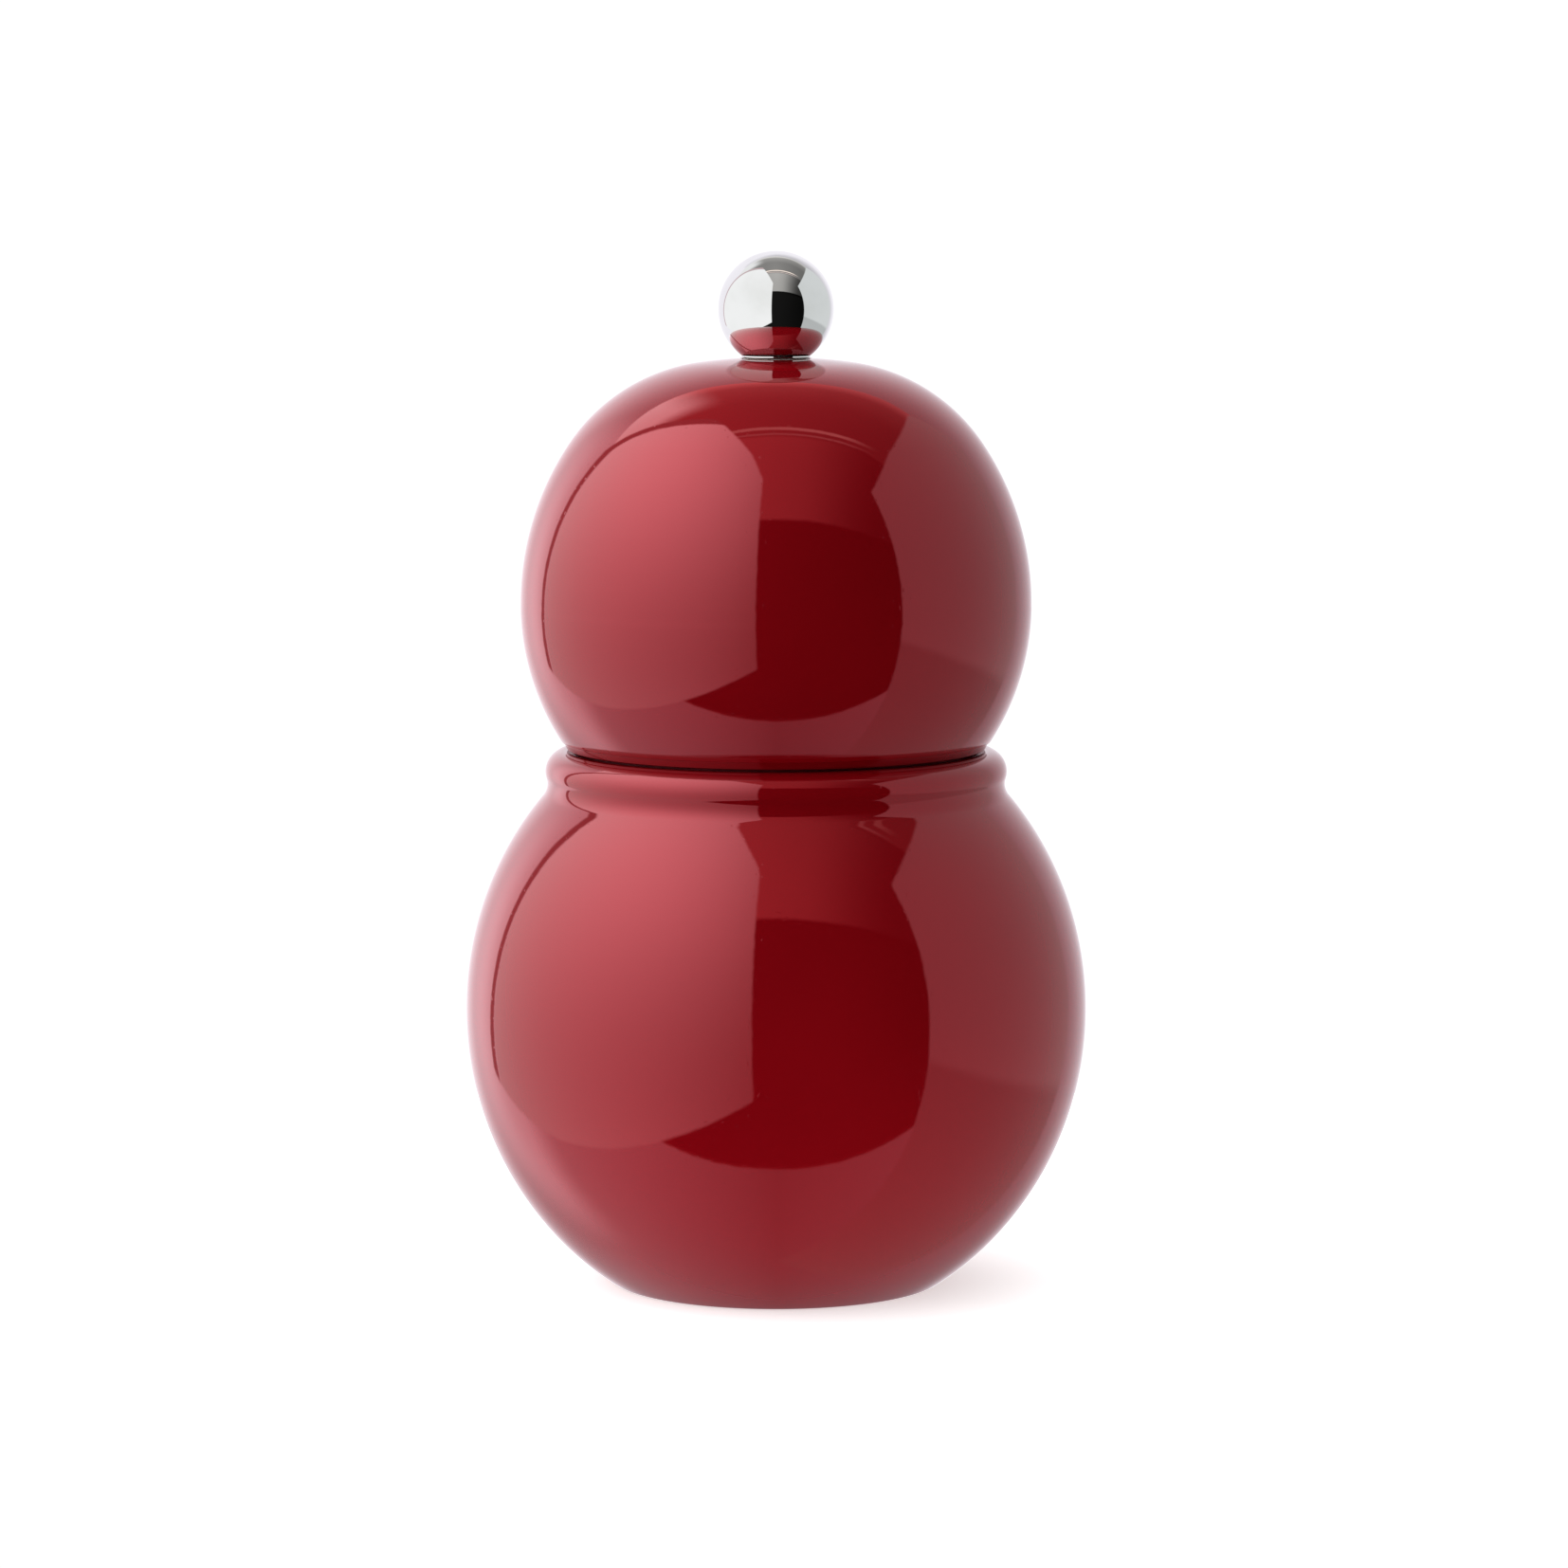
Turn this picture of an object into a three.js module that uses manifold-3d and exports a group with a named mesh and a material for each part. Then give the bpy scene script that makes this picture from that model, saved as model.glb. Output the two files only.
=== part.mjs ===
// A turned two-ball pepper mill: a large hollow wooden ball carries the grinder, a smaller wooden
// ball is the head that turns it, and a chrome ball nut on top sets how fine it grinds.
// Millimetres, +Z up. The origin is the centre of the base, on the surface the mill stands on.

import * as THREE from 'three';
import { mergeVertices } from 'three/addons/utils/BufferGeometryUtils.js';
import Module from 'manifold-3d';

const wasm = await Module();
wasm.setup();

// ---------------------------------------------------------------- driving dimensions

const GAP = 0.3; // clearance between neighbouring pieces

const BODY = {
  radius: 35.5, // widest radius of the lower ball
  semiHeight: 37.1, // its section is an ellipse, cut flat by the base
  centreZ: 31.5,
  neckZ: 57.0, // where the ball ends below the bead
};
const BEAD = { centreRadius: 23.7, minorRadius: 2.4, z: 59.6, startDeg: -43 };
const CHAMBER = { radius: 17.5, floorZ: 35.0, throatRadius: 10.6, throatZ: 29.5 };
const MOUTH = { radius: 22.3, shoulderZ: 54.2 };
const BASE = { recessRadius: 16.2, recessTopZ: 3.3 };

const HEAD = {
  radius: 29.1, // widest radius of the upper ball
  equatorZ: 78.0,
  lowerSemiHeight: 29.0,
  bottomZ: 62.4,
  topZ: 106.0,
  boreRadius: 4.0,
};
// The top of the head is three arcs, tangent to each other: crown, shoulder and side.
const CROWN = { radius: 65.0, endDeg: 7.7 };
const SHOULDER = { radius: 21.3, endDeg: 56.0 };
const SIDE_RADIUS = 32.6;
const SPIGOT = { radius: 21.9, bottomZ: 55.2, chamfer: 0.8 };

const KNOB = { radius: 6.55, centreZ: 111.45, baseZ: 106.2, boreTopZ: 112.6 };
const INSERT = { radius: 3.0, topZ: 112.2 };

const THREAD_RADIUS = 2.0; // M4
const SHAFT = { side: 4.5, bottomZ: 1.7, squareFromZ: 15.5, squareToZ: 100.4, topZ: 111.4, chamfer: 0.5 };
const HEAD_BUSH = { bottomZ: 100.9, topZ: 105.0 };
const KNOB_WASHER = { bottomZ: 105.3, thickness: 0.6 };

const DRIVE_PLATE = { radius: 12.0, bottomZ: 55.7, thickness: 1.2, screwCircle: 8.5 };
const RETAINING_PLATE = { holeRadius: 8.8, bottomZ: 2.0, thickness: 1.0, screwCircle: 14.0 };
const SCREW = { headRadius: 1.8, headHeight: 1.1, shankRadius: 0.9, shankLength: 7.6, slot: 0.5 };
const SCREWS_PER_PLATE = 3;

const HOUSING = { radius: 11.5, innerRadius: 10.2, bottomZ: 3.3, topZ: 27.9, lipRadius: 9.0, lipZ: 13.3 };
const STATOR = { radius: 9.9, bottomZ: 3.3, topZ: 13.0, boreBottom: 8.5, boreTop: 6.9, toothDepth: 0.5 };
const ROTOR = { bottomZ: 5.6, topZ: 14.0, bottomRadius: 7.75, topRadius: 5.2, boreRadius: 3.9, toothDepth: 0.6 };
const TOOTH_COUNT = 12;
const CORE = { sleeveRadius: 3.6, collarRadius: 5.0, collarZ: 14.3, pocketZ: 15.2, topZ: 17.0 };
const ROTOR_WASHER = { radius: 6.0, bottomZ: 4.6, thickness: 0.7 };
const NUT = { acrossFlats: 7.0, bottomZ: 2.0, height: 2.3 };

const BRIDGE = { hubRadius: 5.7, bottomZ: 24.9, armWidth: 2.2, armBottomZ: 25.3, armCount: 3, firstArmDeg: 60 };
const BUSH = { radius: 4.4, flangeRadius: 5.6, bottomZ: 23.6, flangeHeight: 1.0, topZ: 28.6 };
const SPRING = { meanRadius: 4.2, wireRadius: 0.4, bottomZ: 17.3, topZ: 22.3, turns: 3 };
const SPRING_WASHER = { radius: 5.2, bottomZ: 22.6, thickness: 0.7 };

const FINE = 48; // segments round the two wooden balls
const COARSE = 24; // segments round the small inner pieces

// ---------------------------------------------------------------- materials

function finish(color, roughness, metalness) {
  return new THREE.MeshStandardMaterial({ color, roughness, metalness });
}

const lacquer = () => finish(0xa3141f, 0.12, 0.0);
const chrome = () => finish(0xd9dadc, 0.06, 1.0);
const brass = () => finish(0xc8a04a, 0.3, 1.0);
const steel = () => finish(0xa9abae, 0.35, 1.0);
const grinderSteel = () => finish(0x4a4b4e, 0.55, 1.0);
const nylon = () => finish(0xe4e1d8, 0.5, 0.0);

// ---------------------------------------------------------------- solids and booleans

/** Closed manifold solid of a geometry: shared corners merged, slivers on the axis dropped. */
function solidOf(geometry) {
  const bare = new THREE.BufferGeometry();
  bare.setAttribute('position', geometry.getAttribute('position'));
  if (geometry.index) bare.setIndex(geometry.index);
  const merged = mergeVertices(bare, 1e-4);
  const index = merged.index.array;
  const triangles = [];
  for (let i = 0; i < index.length; i += 3) {
    const [a, b, c] = index.slice(i, i + 3);
    if (a !== b && b !== c && c !== a) triangles.push(a, b, c);
  }
  return new wasm.Manifold(new wasm.Mesh({
    numProp: 3,
    vertProperties: new Float32Array(merged.getAttribute('position').array),
    triVerts: new Uint32Array(triangles),
  }));
}

/** three.js geometry of a manifold solid. */
function geometryOf(solid) {
  const mesh = solid.getMesh();
  const geometry = new THREE.BufferGeometry();
  geometry.setAttribute('position', new THREE.BufferAttribute(new Float32Array(mesh.vertProperties), 3));
  geometry.setIndex(new THREE.BufferAttribute(new Uint32Array(mesh.triVerts), 1));
  return geometry;
}

function cut(geometry, ...tools) {
  return geometryOf(tools.reduce((solid, tool) => solid.subtract(solidOf(tool)), solidOf(geometry)));
}

function join(geometry, ...others) {
  return geometryOf(others.reduce((solid, other) => solid.add(solidOf(other)), solidOf(geometry)));
}

// ---------------------------------------------------------------- shapes

const rad = THREE.MathUtils.degToRad;

/** Points of an ellipse's arc in the (radius, z) plane; angles are from the +radius direction. */
function arc(centre, semiR, semiZ, fromDeg, toDeg, steps) {
  return Array.from({ length: steps + 1 }, (_, i) => {
    const angle = rad(fromDeg + ((toDeg - fromDeg) * i) / steps);
    return [centre[0] + semiR * Math.cos(angle), centre[1] + semiZ * Math.sin(angle)];
  });
}

/** Evenly spaced points on a straight line in the (radius, z) plane, both ends included. */
function straight([fromR, fromZ], [toR, toZ], steps) {
  return Array.from({ length: steps + 1 }, (_, i) => [
    fromR + ((toR - fromR) * i) / steps,
    fromZ + ((toZ - fromZ) * i) / steps,
  ]);
}

/** Solid of revolution about Z. The outline runs up the outside and back down the inside. */
function turned(outline, segments = COARSE) {
  const points = outline.map(([r, z]) => new THREE.Vector2(r, z));
  return new THREE.LatheGeometry(points, segments).rotateX(Math.PI / 2);
}

/** Ring of rectangular section. */
function ring(inner, outer, bottomZ, topZ, segments = COARSE) {
  return turned([[inner, bottomZ], [outer, bottomZ], [outer, topZ], [inner, topZ], [inner, bottomZ]], segments);
}

/** Solid cylinder on the Z axis. */
function rod(radius, bottomZ, topZ, segments = COARSE) {
  return turned([[0, bottomZ], [radius, bottomZ], [radius, topZ], [0, topZ]], segments);
}

/** Square bar on the Z axis. */
function squareBar(side, bottomZ, topZ) {
  return new THREE.BoxGeometry(side, side, topZ - bottomZ).translate(0, 0, (bottomZ + topZ) / 2);
}

/** Copies of a tool at equal angles on a circle round the Z axis. */
function around(count, circleRadius, make, firstDeg = 0) {
  return Array.from({ length: count }, (_, i) => {
    const angle = rad(firstDeg + (360 * i) / count);
    return make().translate(circleRadius, 0, 0).rotateZ(angle);
  });
}

/** Flat round plate with a central hole and screw holes, extruded upwards. */
function plate(radius, bottomZ, thickness, centreHole, screwCircle) {
  const outline = new THREE.Shape().absarc(0, 0, radius, 0, 2 * Math.PI);
  outline.holes.push(centreHole);
  for (let i = 0; i < SCREWS_PER_PLATE; i += 1) {
    const angle = (2 * Math.PI * i) / SCREWS_PER_PLATE;
    const x = screwCircle * Math.cos(angle);
    const y = screwCircle * Math.sin(angle);
    outline.holes.push(new THREE.Path().absarc(x, y, SCREW.shankRadius + GAP, 0, 2 * Math.PI, true));
  }
  const options = { depth: thickness, bevelEnabled: false, curveSegments: 12 };
  return new THREE.ExtrudeGeometry(outline, options).translate(0, 0, bottomZ);
}

/** Pan-head wood screw, head down, with a cross recess. Its head's flat side is at z = 0. */
function screw() {
  const { headRadius, headHeight, shankRadius, shankLength, slot } = SCREW;
  const pointLength = 2 * shankRadius;
  const blank = turned([
    [0, -headHeight],
    [0.7 * headRadius, -headHeight],
    [headRadius, -0.5 * headHeight],
    [headRadius, 0],
    [shankRadius, 0],
    [shankRadius, shankLength - pointLength],
    [0, shankLength],
  ], 16);
  const slots = [0, Math.PI / 2].map((angle) => new THREE.BoxGeometry(headRadius * 1.1, slot, slot * 2)
    .rotateZ(angle)
    .translate(0, 0, -headHeight));
  return cut(blank, ...slots);
}

/** Moves each vertex of a cone's working surface in and out in helical teeth. */
function withTeeth(geometry, depth, isWorking, sign) {
  const position = geometry.getAttribute('position');
  const point = new THREE.Vector3();
  for (let i = 0; i < position.count; i += 1) {
    point.fromBufferAttribute(position, i);
    const radius = Math.hypot(point.x, point.y);
    if (isWorking(radius)) {
      const turn = (TOOTH_COUNT * Math.atan2(point.y, point.x)) / (2 * Math.PI) + sign * point.z * 0.08;
      const phase = turn - Math.floor(turn);
      const scale = 1 + (sign * depth * (phase < 0.5 ? 0 : 1)) / radius;
      position.setXYZ(i, point.x * scale, point.y * scale, point.z);
    }
  }
  return geometry;
}

// ---------------------------------------------------------------- body and its fittings

function bodyOutline() {
  const { radius, semiHeight, centreZ, neckZ } = BODY;
  const degOf = (z) => THREE.MathUtils.radToDeg(Math.asin((z - centreZ) / semiHeight));
  const baseRadius = radius * Math.cos(rad(degOf(0)));
  return [
    [BASE.recessRadius, 0],
    [baseRadius, 0],
    ...arc([0, centreZ], radius, semiHeight, degOf(0), degOf(neckZ), 16).slice(1),
    ...arc([BEAD.centreRadius, BEAD.z], BEAD.minorRadius, BEAD.minorRadius, BEAD.startDeg, 90, 6),
    [MOUTH.radius, BEAD.z + BEAD.minorRadius],
    [MOUTH.radius, MOUTH.shoulderZ],
    [CHAMBER.radius, MOUTH.shoulderZ],
    [CHAMBER.radius, CHAMBER.floorZ],
    [CHAMBER.throatRadius, CHAMBER.throatZ],
    [CHAMBER.throatRadius, HOUSING.topZ + GAP],
    [HOUSING.radius + GAP, HOUSING.topZ + GAP],
    [HOUSING.radius + GAP, BASE.recessTopZ],
    [BASE.recessRadius, BASE.recessTopZ],
    [BASE.recessRadius, 0],
  ];
}

/** Hole for a screw in wood, from faceZ upwards. */
function pilotHole(faceZ) {
  return rod(SCREW.shankRadius + GAP, faceZ - 1, faceZ + SCREW.shankLength, 16);
}

function bodyShell() {
  const holes = around(SCREWS_PER_PLATE, RETAINING_PLATE.screwCircle, () => pilotHole(BASE.recessTopZ));
  return cut(turned(bodyOutline(), FINE), ...holes);
}

function retainingPlate() {
  const hole = new THREE.Path().absarc(0, 0, RETAINING_PLATE.holeRadius, 0, 2 * Math.PI, true);
  const { bottomZ, thickness, screwCircle } = RETAINING_PLATE;
  return plate(BASE.recessRadius - GAP, bottomZ, thickness, hole, screwCircle);
}

function grinderHousing() {
  const { radius, innerRadius, bottomZ, topZ, lipRadius, lipZ } = HOUSING;
  const sleeve = turned([
    [innerRadius, bottomZ],
    [radius, bottomZ],
    [radius, topZ],
    [innerRadius, topZ],
    [innerRadius, lipZ + 2],
    [lipRadius, lipZ + 1],
    [lipRadius, lipZ],
    [innerRadius, lipZ],
    [innerRadius, bottomZ],
  ], FINE);
  const slotFloor = BRIDGE.armBottomZ - GAP;
  const slot = () => new THREE.BoxGeometry(4, BRIDGE.armWidth + 2 * GAP, topZ - slotFloor + 1)
    .translate(0, 0, (slotFloor + topZ + 1) / 2);
  return cut(sleeve, ...around(BRIDGE.armCount, radius, slot, BRIDGE.firstArmDeg));
}

function bridge() {
  const { hubRadius, bottomZ, armWidth, armBottomZ, armCount, firstArmDeg } = BRIDGE;
  const topZ = HOUSING.topZ;
  const inner = hubRadius - 0.6;
  const outer = HOUSING.radius - 0.1;
  const arm = () => new THREE.BoxGeometry(outer - inner, armWidth, topZ - armBottomZ)
    .translate(0, 0, (topZ + armBottomZ) / 2);
  const arms = around(armCount, (inner + outer) / 2, arm, firstArmDeg);
  return join(ring(BUSH.radius + GAP, hubRadius, bottomZ, topZ), ...arms);
}

function stator() {
  const { radius, bottomZ, topZ, boreBottom, boreTop, toothDepth } = STATOR;
  const bore = straight([boreTop, topZ], [boreBottom, bottomZ], 5);
  const blank = turned([[boreBottom, bottomZ], [radius, bottomZ], [radius, topZ], ...bore], FINE);
  return withTeeth(blank, toothDepth, (r) => r < radius - toothDepth, 1);
}

// ---------------------------------------------------------------- shaft and rotor

function shaft() {
  const { side, bottomZ, squareFromZ, squareToZ, topZ, chamfer } = SHAFT;
  const threaded = turned([
    [0, bottomZ],
    [THREAD_RADIUS, bottomZ],
    [THREAD_RADIUS, topZ - chamfer],
    [THREAD_RADIUS - chamfer, topZ],
    [0, topZ],
  ]);
  return join(threaded, squareBar(side, squareFromZ, squareToZ));
}

function rotor() {
  const { bottomZ, topZ, bottomRadius, topRadius, boreRadius, toothDepth } = ROTOR;
  const cone = straight([bottomRadius, bottomZ], [topRadius, topZ], 5);
  const blank = turned([[boreRadius, bottomZ], ...cone, [boreRadius, topZ], [boreRadius, bottomZ]], FINE);
  return withTeeth(blank, toothDepth, (r) => r > boreRadius + toothDepth, -1);
}

function rotorCore() {
  const { sleeveRadius, collarRadius, collarZ, pocketZ, topZ } = CORE;
  const bore = THREAD_RADIUS + GAP;
  const blank = turned([
    [bore, ROTOR.bottomZ],
    [sleeveRadius, ROTOR.bottomZ],
    [sleeveRadius, collarZ],
    [collarRadius, collarZ],
    [collarRadius, topZ],
    [bore, topZ],
    [bore, ROTOR.bottomZ],
  ]);
  return cut(blank, squareBar(SHAFT.side + 2 * GAP, pocketZ, topZ + 1));
}

function rotorNut() {
  const cornerRadius = NUT.acrossFlats / 2 / Math.cos(Math.PI / 6);
  const topZ = NUT.bottomZ + NUT.height;
  return cut(rod(cornerRadius, NUT.bottomZ, topZ, 6), rod(THREAD_RADIUS + GAP, NUT.bottomZ - 1, topZ + 1));
}

function shaftBush() {
  const { radius, flangeRadius, bottomZ, flangeHeight, topZ } = BUSH;
  const blank = turned([
    [0, bottomZ],
    [flangeRadius, bottomZ],
    [flangeRadius, bottomZ + flangeHeight],
    [radius, bottomZ + flangeHeight],
    [radius, topZ],
    [0, topZ],
  ]);
  return cut(blank, squareBar(SHAFT.side + 2 * GAP, bottomZ - 1, topZ + 1));
}

class Helix extends THREE.Curve {
  getPoint(t, target = new THREE.Vector3()) {
    const angle = 2 * Math.PI * SPRING.turns * t;
    const low = SPRING.bottomZ + SPRING.wireRadius;
    const high = SPRING.topZ - SPRING.wireRadius;
    return target.set(
      SPRING.meanRadius * Math.cos(angle),
      SPRING.meanRadius * Math.sin(angle),
      low + (high - low) * t,
    );
  }
}

function spring() {
  const section = new THREE.Shape().absarc(0, 0, SPRING.wireRadius, 0, 2 * Math.PI);
  return new THREE.ExtrudeGeometry(section, { extrudePath: new Helix(), steps: 60, curveSegments: 4 });
}

// ---------------------------------------------------------------- head and knob

/** Upper outline of the head, from its equator to the edge of its bore. */
function headTop() {
  const crownCentre = [0, HEAD.topZ - CROWN.radius];
  const shoulderCentre = offset(crownCentre, CROWN.radius - SHOULDER.radius, CROWN.endDeg);
  const sideCentre = offset(shoulderCentre, SHOULDER.radius - SIDE_RADIUS, SHOULDER.endDeg);
  const boreDeg = THREE.MathUtils.radToDeg(Math.asin(HEAD.boreRadius / CROWN.radius));
  return [
    ...arc(sideCentre, SIDE_RADIUS, SIDE_RADIUS, 0, 90 - SHOULDER.endDeg, 6),
    ...arc(shoulderCentre, SHOULDER.radius, SHOULDER.radius, 90 - SHOULDER.endDeg, 90 - CROWN.endDeg, 7).slice(1),
    ...arc(crownCentre, CROWN.radius, CROWN.radius, 90 - CROWN.endDeg, 90 - boreDeg, 1).slice(1),
  ];
}

/** A point at a distance from another, in the direction that leans by a number of degrees from +Z. */
function offset([r, z], distance, leanDeg) {
  return [r + distance * Math.sin(rad(leanDeg)), z + distance * Math.cos(rad(leanDeg))];
}

function headShell() {
  const bottomDeg = THREE.MathUtils.radToDeg(Math.asin((HEAD.bottomZ - HEAD.equatorZ) / HEAD.lowerSemiHeight));
  const recessTopZ = DRIVE_PLATE.bottomZ + DRIVE_PLATE.thickness + GAP;
  const outline = [
    [DRIVE_PLATE.radius + 0.4, SPIGOT.bottomZ],
    [SPIGOT.radius - SPIGOT.chamfer, SPIGOT.bottomZ],
    [SPIGOT.radius, SPIGOT.bottomZ + SPIGOT.chamfer],
    [SPIGOT.radius, HEAD.bottomZ],
    ...arc([0, HEAD.equatorZ], HEAD.radius, HEAD.lowerSemiHeight, bottomDeg, 0, 7).slice(0, -1),
    ...headTop(),
    [HEAD.boreRadius, recessTopZ],
    [DRIVE_PLATE.radius + 0.4, recessTopZ],
    [DRIVE_PLATE.radius + 0.4, SPIGOT.bottomZ],
  ];
  const holes = around(SCREWS_PER_PLATE, DRIVE_PLATE.screwCircle, () => pilotHole(recessTopZ));
  return cut(turned(outline, FINE), ...holes);
}

function drivePlate() {
  const half = SHAFT.side / 2 + GAP;
  const hole = new THREE.Path().moveTo(-half, -half).lineTo(-half, half).lineTo(half, half).lineTo(half, -half);
  hole.closePath();
  const { radius, bottomZ, thickness, screwCircle } = DRIVE_PLATE;
  return plate(radius, bottomZ, thickness, hole, screwCircle);
}

function knobBall() {
  const { radius, centreZ, baseZ, boreTopZ } = KNOB;
  const boreRadius = INSERT.radius + GAP;
  const baseDeg = THREE.MathUtils.radToDeg(Math.asin((baseZ - centreZ) / radius));
  return turned([
    [boreRadius, baseZ],
    ...arc([0, centreZ], radius, radius, baseDeg, 90, 12).slice(0, -1),
    [0, centreZ + radius],
    [0, boreTopZ],
    [boreRadius, boreTopZ],
    [boreRadius, baseZ],
  ], 32);
}

// ---------------------------------------------------------------- assembly

const mill = new THREE.Group();
mill.name = 'pepper_mill';

function add(name, geometry, material, z = 0) {
  const mesh = new THREE.Mesh(geometry, material);
  mesh.name = name;
  mesh.position.z = z;
  mill.add(mesh);
}

/** The screws of one plate, each in its own node, with their heads just under the plate. */
function addScrews(prefix, plateBottomZ, screwCircle) {
  around(SCREWS_PER_PLATE, screwCircle, screw).forEach((geometry, i) => {
    add(`${prefix}_${i + 1}`, geometry, steel(), plateBottomZ - GAP);
  });
}

add('body_shell', bodyShell(), lacquer());
add('grinder_housing', grinderHousing(), nylon());
add('bridge', bridge(), steel());
add('stator', stator(), grinderSteel());
add('retaining_plate', retainingPlate(), steel());
addScrews('retaining_screw', RETAINING_PLATE.bottomZ, RETAINING_PLATE.screwCircle);

add('shaft_bush', shaftBush(), nylon());
const washerBore = SPRING.meanRadius - SPRING.wireRadius;
add('spring_washer', ring(washerBore, SPRING_WASHER.radius, 0, SPRING_WASHER.thickness), steel(), SPRING_WASHER.bottomZ);
add('spring', spring(), steel());

add('shaft', shaft(), steel());
add('rotor', rotor(), grinderSteel());
add('rotor_core', rotorCore(), nylon());
const boltBore = THREAD_RADIUS + GAP;
add('rotor_washer', ring(boltBore, ROTOR_WASHER.radius, 0, ROTOR_WASHER.thickness), steel(), ROTOR_WASHER.bottomZ);
add('rotor_nut', rotorNut(), steel());

add('head_shell', headShell(), lacquer());
add('drive_plate', drivePlate(), steel());
addScrews('drive_screw', DRIVE_PLATE.bottomZ, DRIVE_PLATE.screwCircle);
add('head_bush', ring(boltBore, HEAD.boreRadius - GAP, HEAD_BUSH.bottomZ, HEAD_BUSH.topZ), nylon());

add('knob_washer', ring(boltBore, HEAD.boreRadius - GAP, 0, KNOB_WASHER.thickness), nylon(), KNOB_WASHER.bottomZ);
add('knob_ball', knobBall(), chrome());
add('knob_insert', ring(boltBore, INSERT.radius, KNOB.baseZ + GAP, INSERT.topZ), brass());

export default mill;
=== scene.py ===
"""A turned two-ball pepper mill in red lacquer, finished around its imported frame.

Every shape is given in millimetres in the frame's own axes: +Z up the turning axis, the origin in
the middle of the base and -Y towards the viewer. Meshes are written in metres.
"""

import logging
import math
from collections.abc import Sequence
from dataclasses import dataclass, field
from enum import Enum
from typing import Any

import bpy
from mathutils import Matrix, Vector


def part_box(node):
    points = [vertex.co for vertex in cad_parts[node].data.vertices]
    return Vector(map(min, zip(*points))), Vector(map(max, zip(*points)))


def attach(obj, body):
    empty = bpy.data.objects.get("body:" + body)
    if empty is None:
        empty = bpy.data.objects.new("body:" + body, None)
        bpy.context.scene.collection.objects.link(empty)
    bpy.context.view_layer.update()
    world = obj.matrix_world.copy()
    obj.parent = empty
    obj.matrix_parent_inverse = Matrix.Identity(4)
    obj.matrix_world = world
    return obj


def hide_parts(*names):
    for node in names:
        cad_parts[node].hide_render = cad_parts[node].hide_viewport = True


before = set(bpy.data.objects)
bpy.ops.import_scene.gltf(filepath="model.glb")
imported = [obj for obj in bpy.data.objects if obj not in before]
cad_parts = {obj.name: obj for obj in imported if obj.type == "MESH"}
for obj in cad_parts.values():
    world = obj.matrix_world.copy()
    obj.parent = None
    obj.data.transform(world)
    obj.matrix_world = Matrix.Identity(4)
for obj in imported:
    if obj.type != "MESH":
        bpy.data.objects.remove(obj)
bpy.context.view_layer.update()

MM = 0.001
SHARP_DEGREES = 34.0
EASE_STEPS = 4
LARGEST_EASE = 0.45
Point = tuple[float, float]
log = logging.getLogger("pepper_mill")


# ------------------------------------------------------------------ outlines


def mix(low: float, high: float, share: float) -> float:
    """Return the value a share of the way from low to high."""
    return low + (high - low) * share


def arc(centre: Point, semi: Point, start: float, end: float, steps: int) -> list[Point]:
    """Return points of an ellipse's arc in the (radius, height) plane.

    Args:
        centre: Middle of the ellipse.
        semi: Its half axes along the radius and along the height.
        start: First angle in degrees, from the +radius direction.
        end: Last angle in degrees.
        steps: Number of equal steps between them.

    Returns:
        The points, both ends included.
    """
    angles = [math.radians(mix(start, end, i / steps)) for i in range(steps + 1)]
    return [(centre[0] + semi[0] * math.cos(a), centre[1] + semi[1] * math.sin(a)) for a in angles]


def line(start: Point, end: Point, steps: int) -> list[Point]:
    """Return evenly spaced points of a straight line.

    Args:
        start: First point.
        end: Last point.
        steps: Number of equal steps between them.

    Returns:
        The points, both ends included.
    """
    shares = [i / steps for i in range(steps + 1)]
    return [(mix(start[0], end[0], s), mix(start[1], end[1], s)) for s in shares]


def towards(start: Point, end: Point, distance: float) -> Point:
    """Return the point at a distance from start in the direction of end."""
    length = math.dist(start, end)
    return (
        mix(start[0], end[0], distance / length),
        mix(start[1], end[1], distance / length),
    )


def eased(
    before: Point, corner: Point, after: Point, radius: float, steps: int = EASE_STEPS
) -> list[Point]:
    """Return the points that round one corner of an outline.

    Args:
        before: The neighbouring point before the corner.
        corner: The sharp corner.
        after: The neighbouring point after it.
        radius: How far along each side the rounding reaches, up to LARGEST_EASE of the side.
        steps: Number of steps in the curve.

    Returns:
        Points of a smooth curve from one side to the other.
    """
    reach_in = min(radius, LARGEST_EASE * math.dist(before, corner))
    reach_out = min(radius, LARGEST_EASE * math.dist(corner, after))
    first = towards(corner, before, reach_in)
    last = towards(corner, after, reach_out)
    points = []
    for i in range(steps + 1):
        share = i / steps
        left = (mix(first[0], corner[0], share), mix(first[1], corner[1], share))
        right = (mix(corner[0], last[0], share), mix(corner[1], last[1], share))
        points.append((mix(left[0], right[0], share), mix(left[1], right[1], share)))
    return points


def softened(corners: Sequence[Point], radius: float) -> list[Point]:
    """Return an outline with each of its corners off the axis rounded.

    Args:
        corners: The outline's corners in order. An outline whose ends are off the axis is a ring.
        radius: How far each rounding reaches along its sides.

    Returns:
        The rounded outline.
    """
    ring = corners[0][0] > 0
    points: list[Point] = []
    last = len(corners) - 1
    for i, corner in enumerate(corners):
        if not ring and i in (0, last):
            points.append(corner)
            continue
        before = corners[i - 1]
        after = corners[(i + 1) % len(corners)]
        points.extend(eased(before, corner, after, radius))
    return points


def open_ended(corners: Sequence[Point], radius: float) -> list[Point]:
    """Return a softened ring without its first and last corners, where other stretches join it."""
    rounded = EASE_STEPS + 1
    return softened(corners, radius)[rounded:-rounded]


def band(inner: float, outer: float, height: float) -> list[Point]:
    """Return the corners of a plain ring's section."""
    return [(inner, 0.0), (outer, 0.0), (outer, height), (inner, height)]


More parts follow.
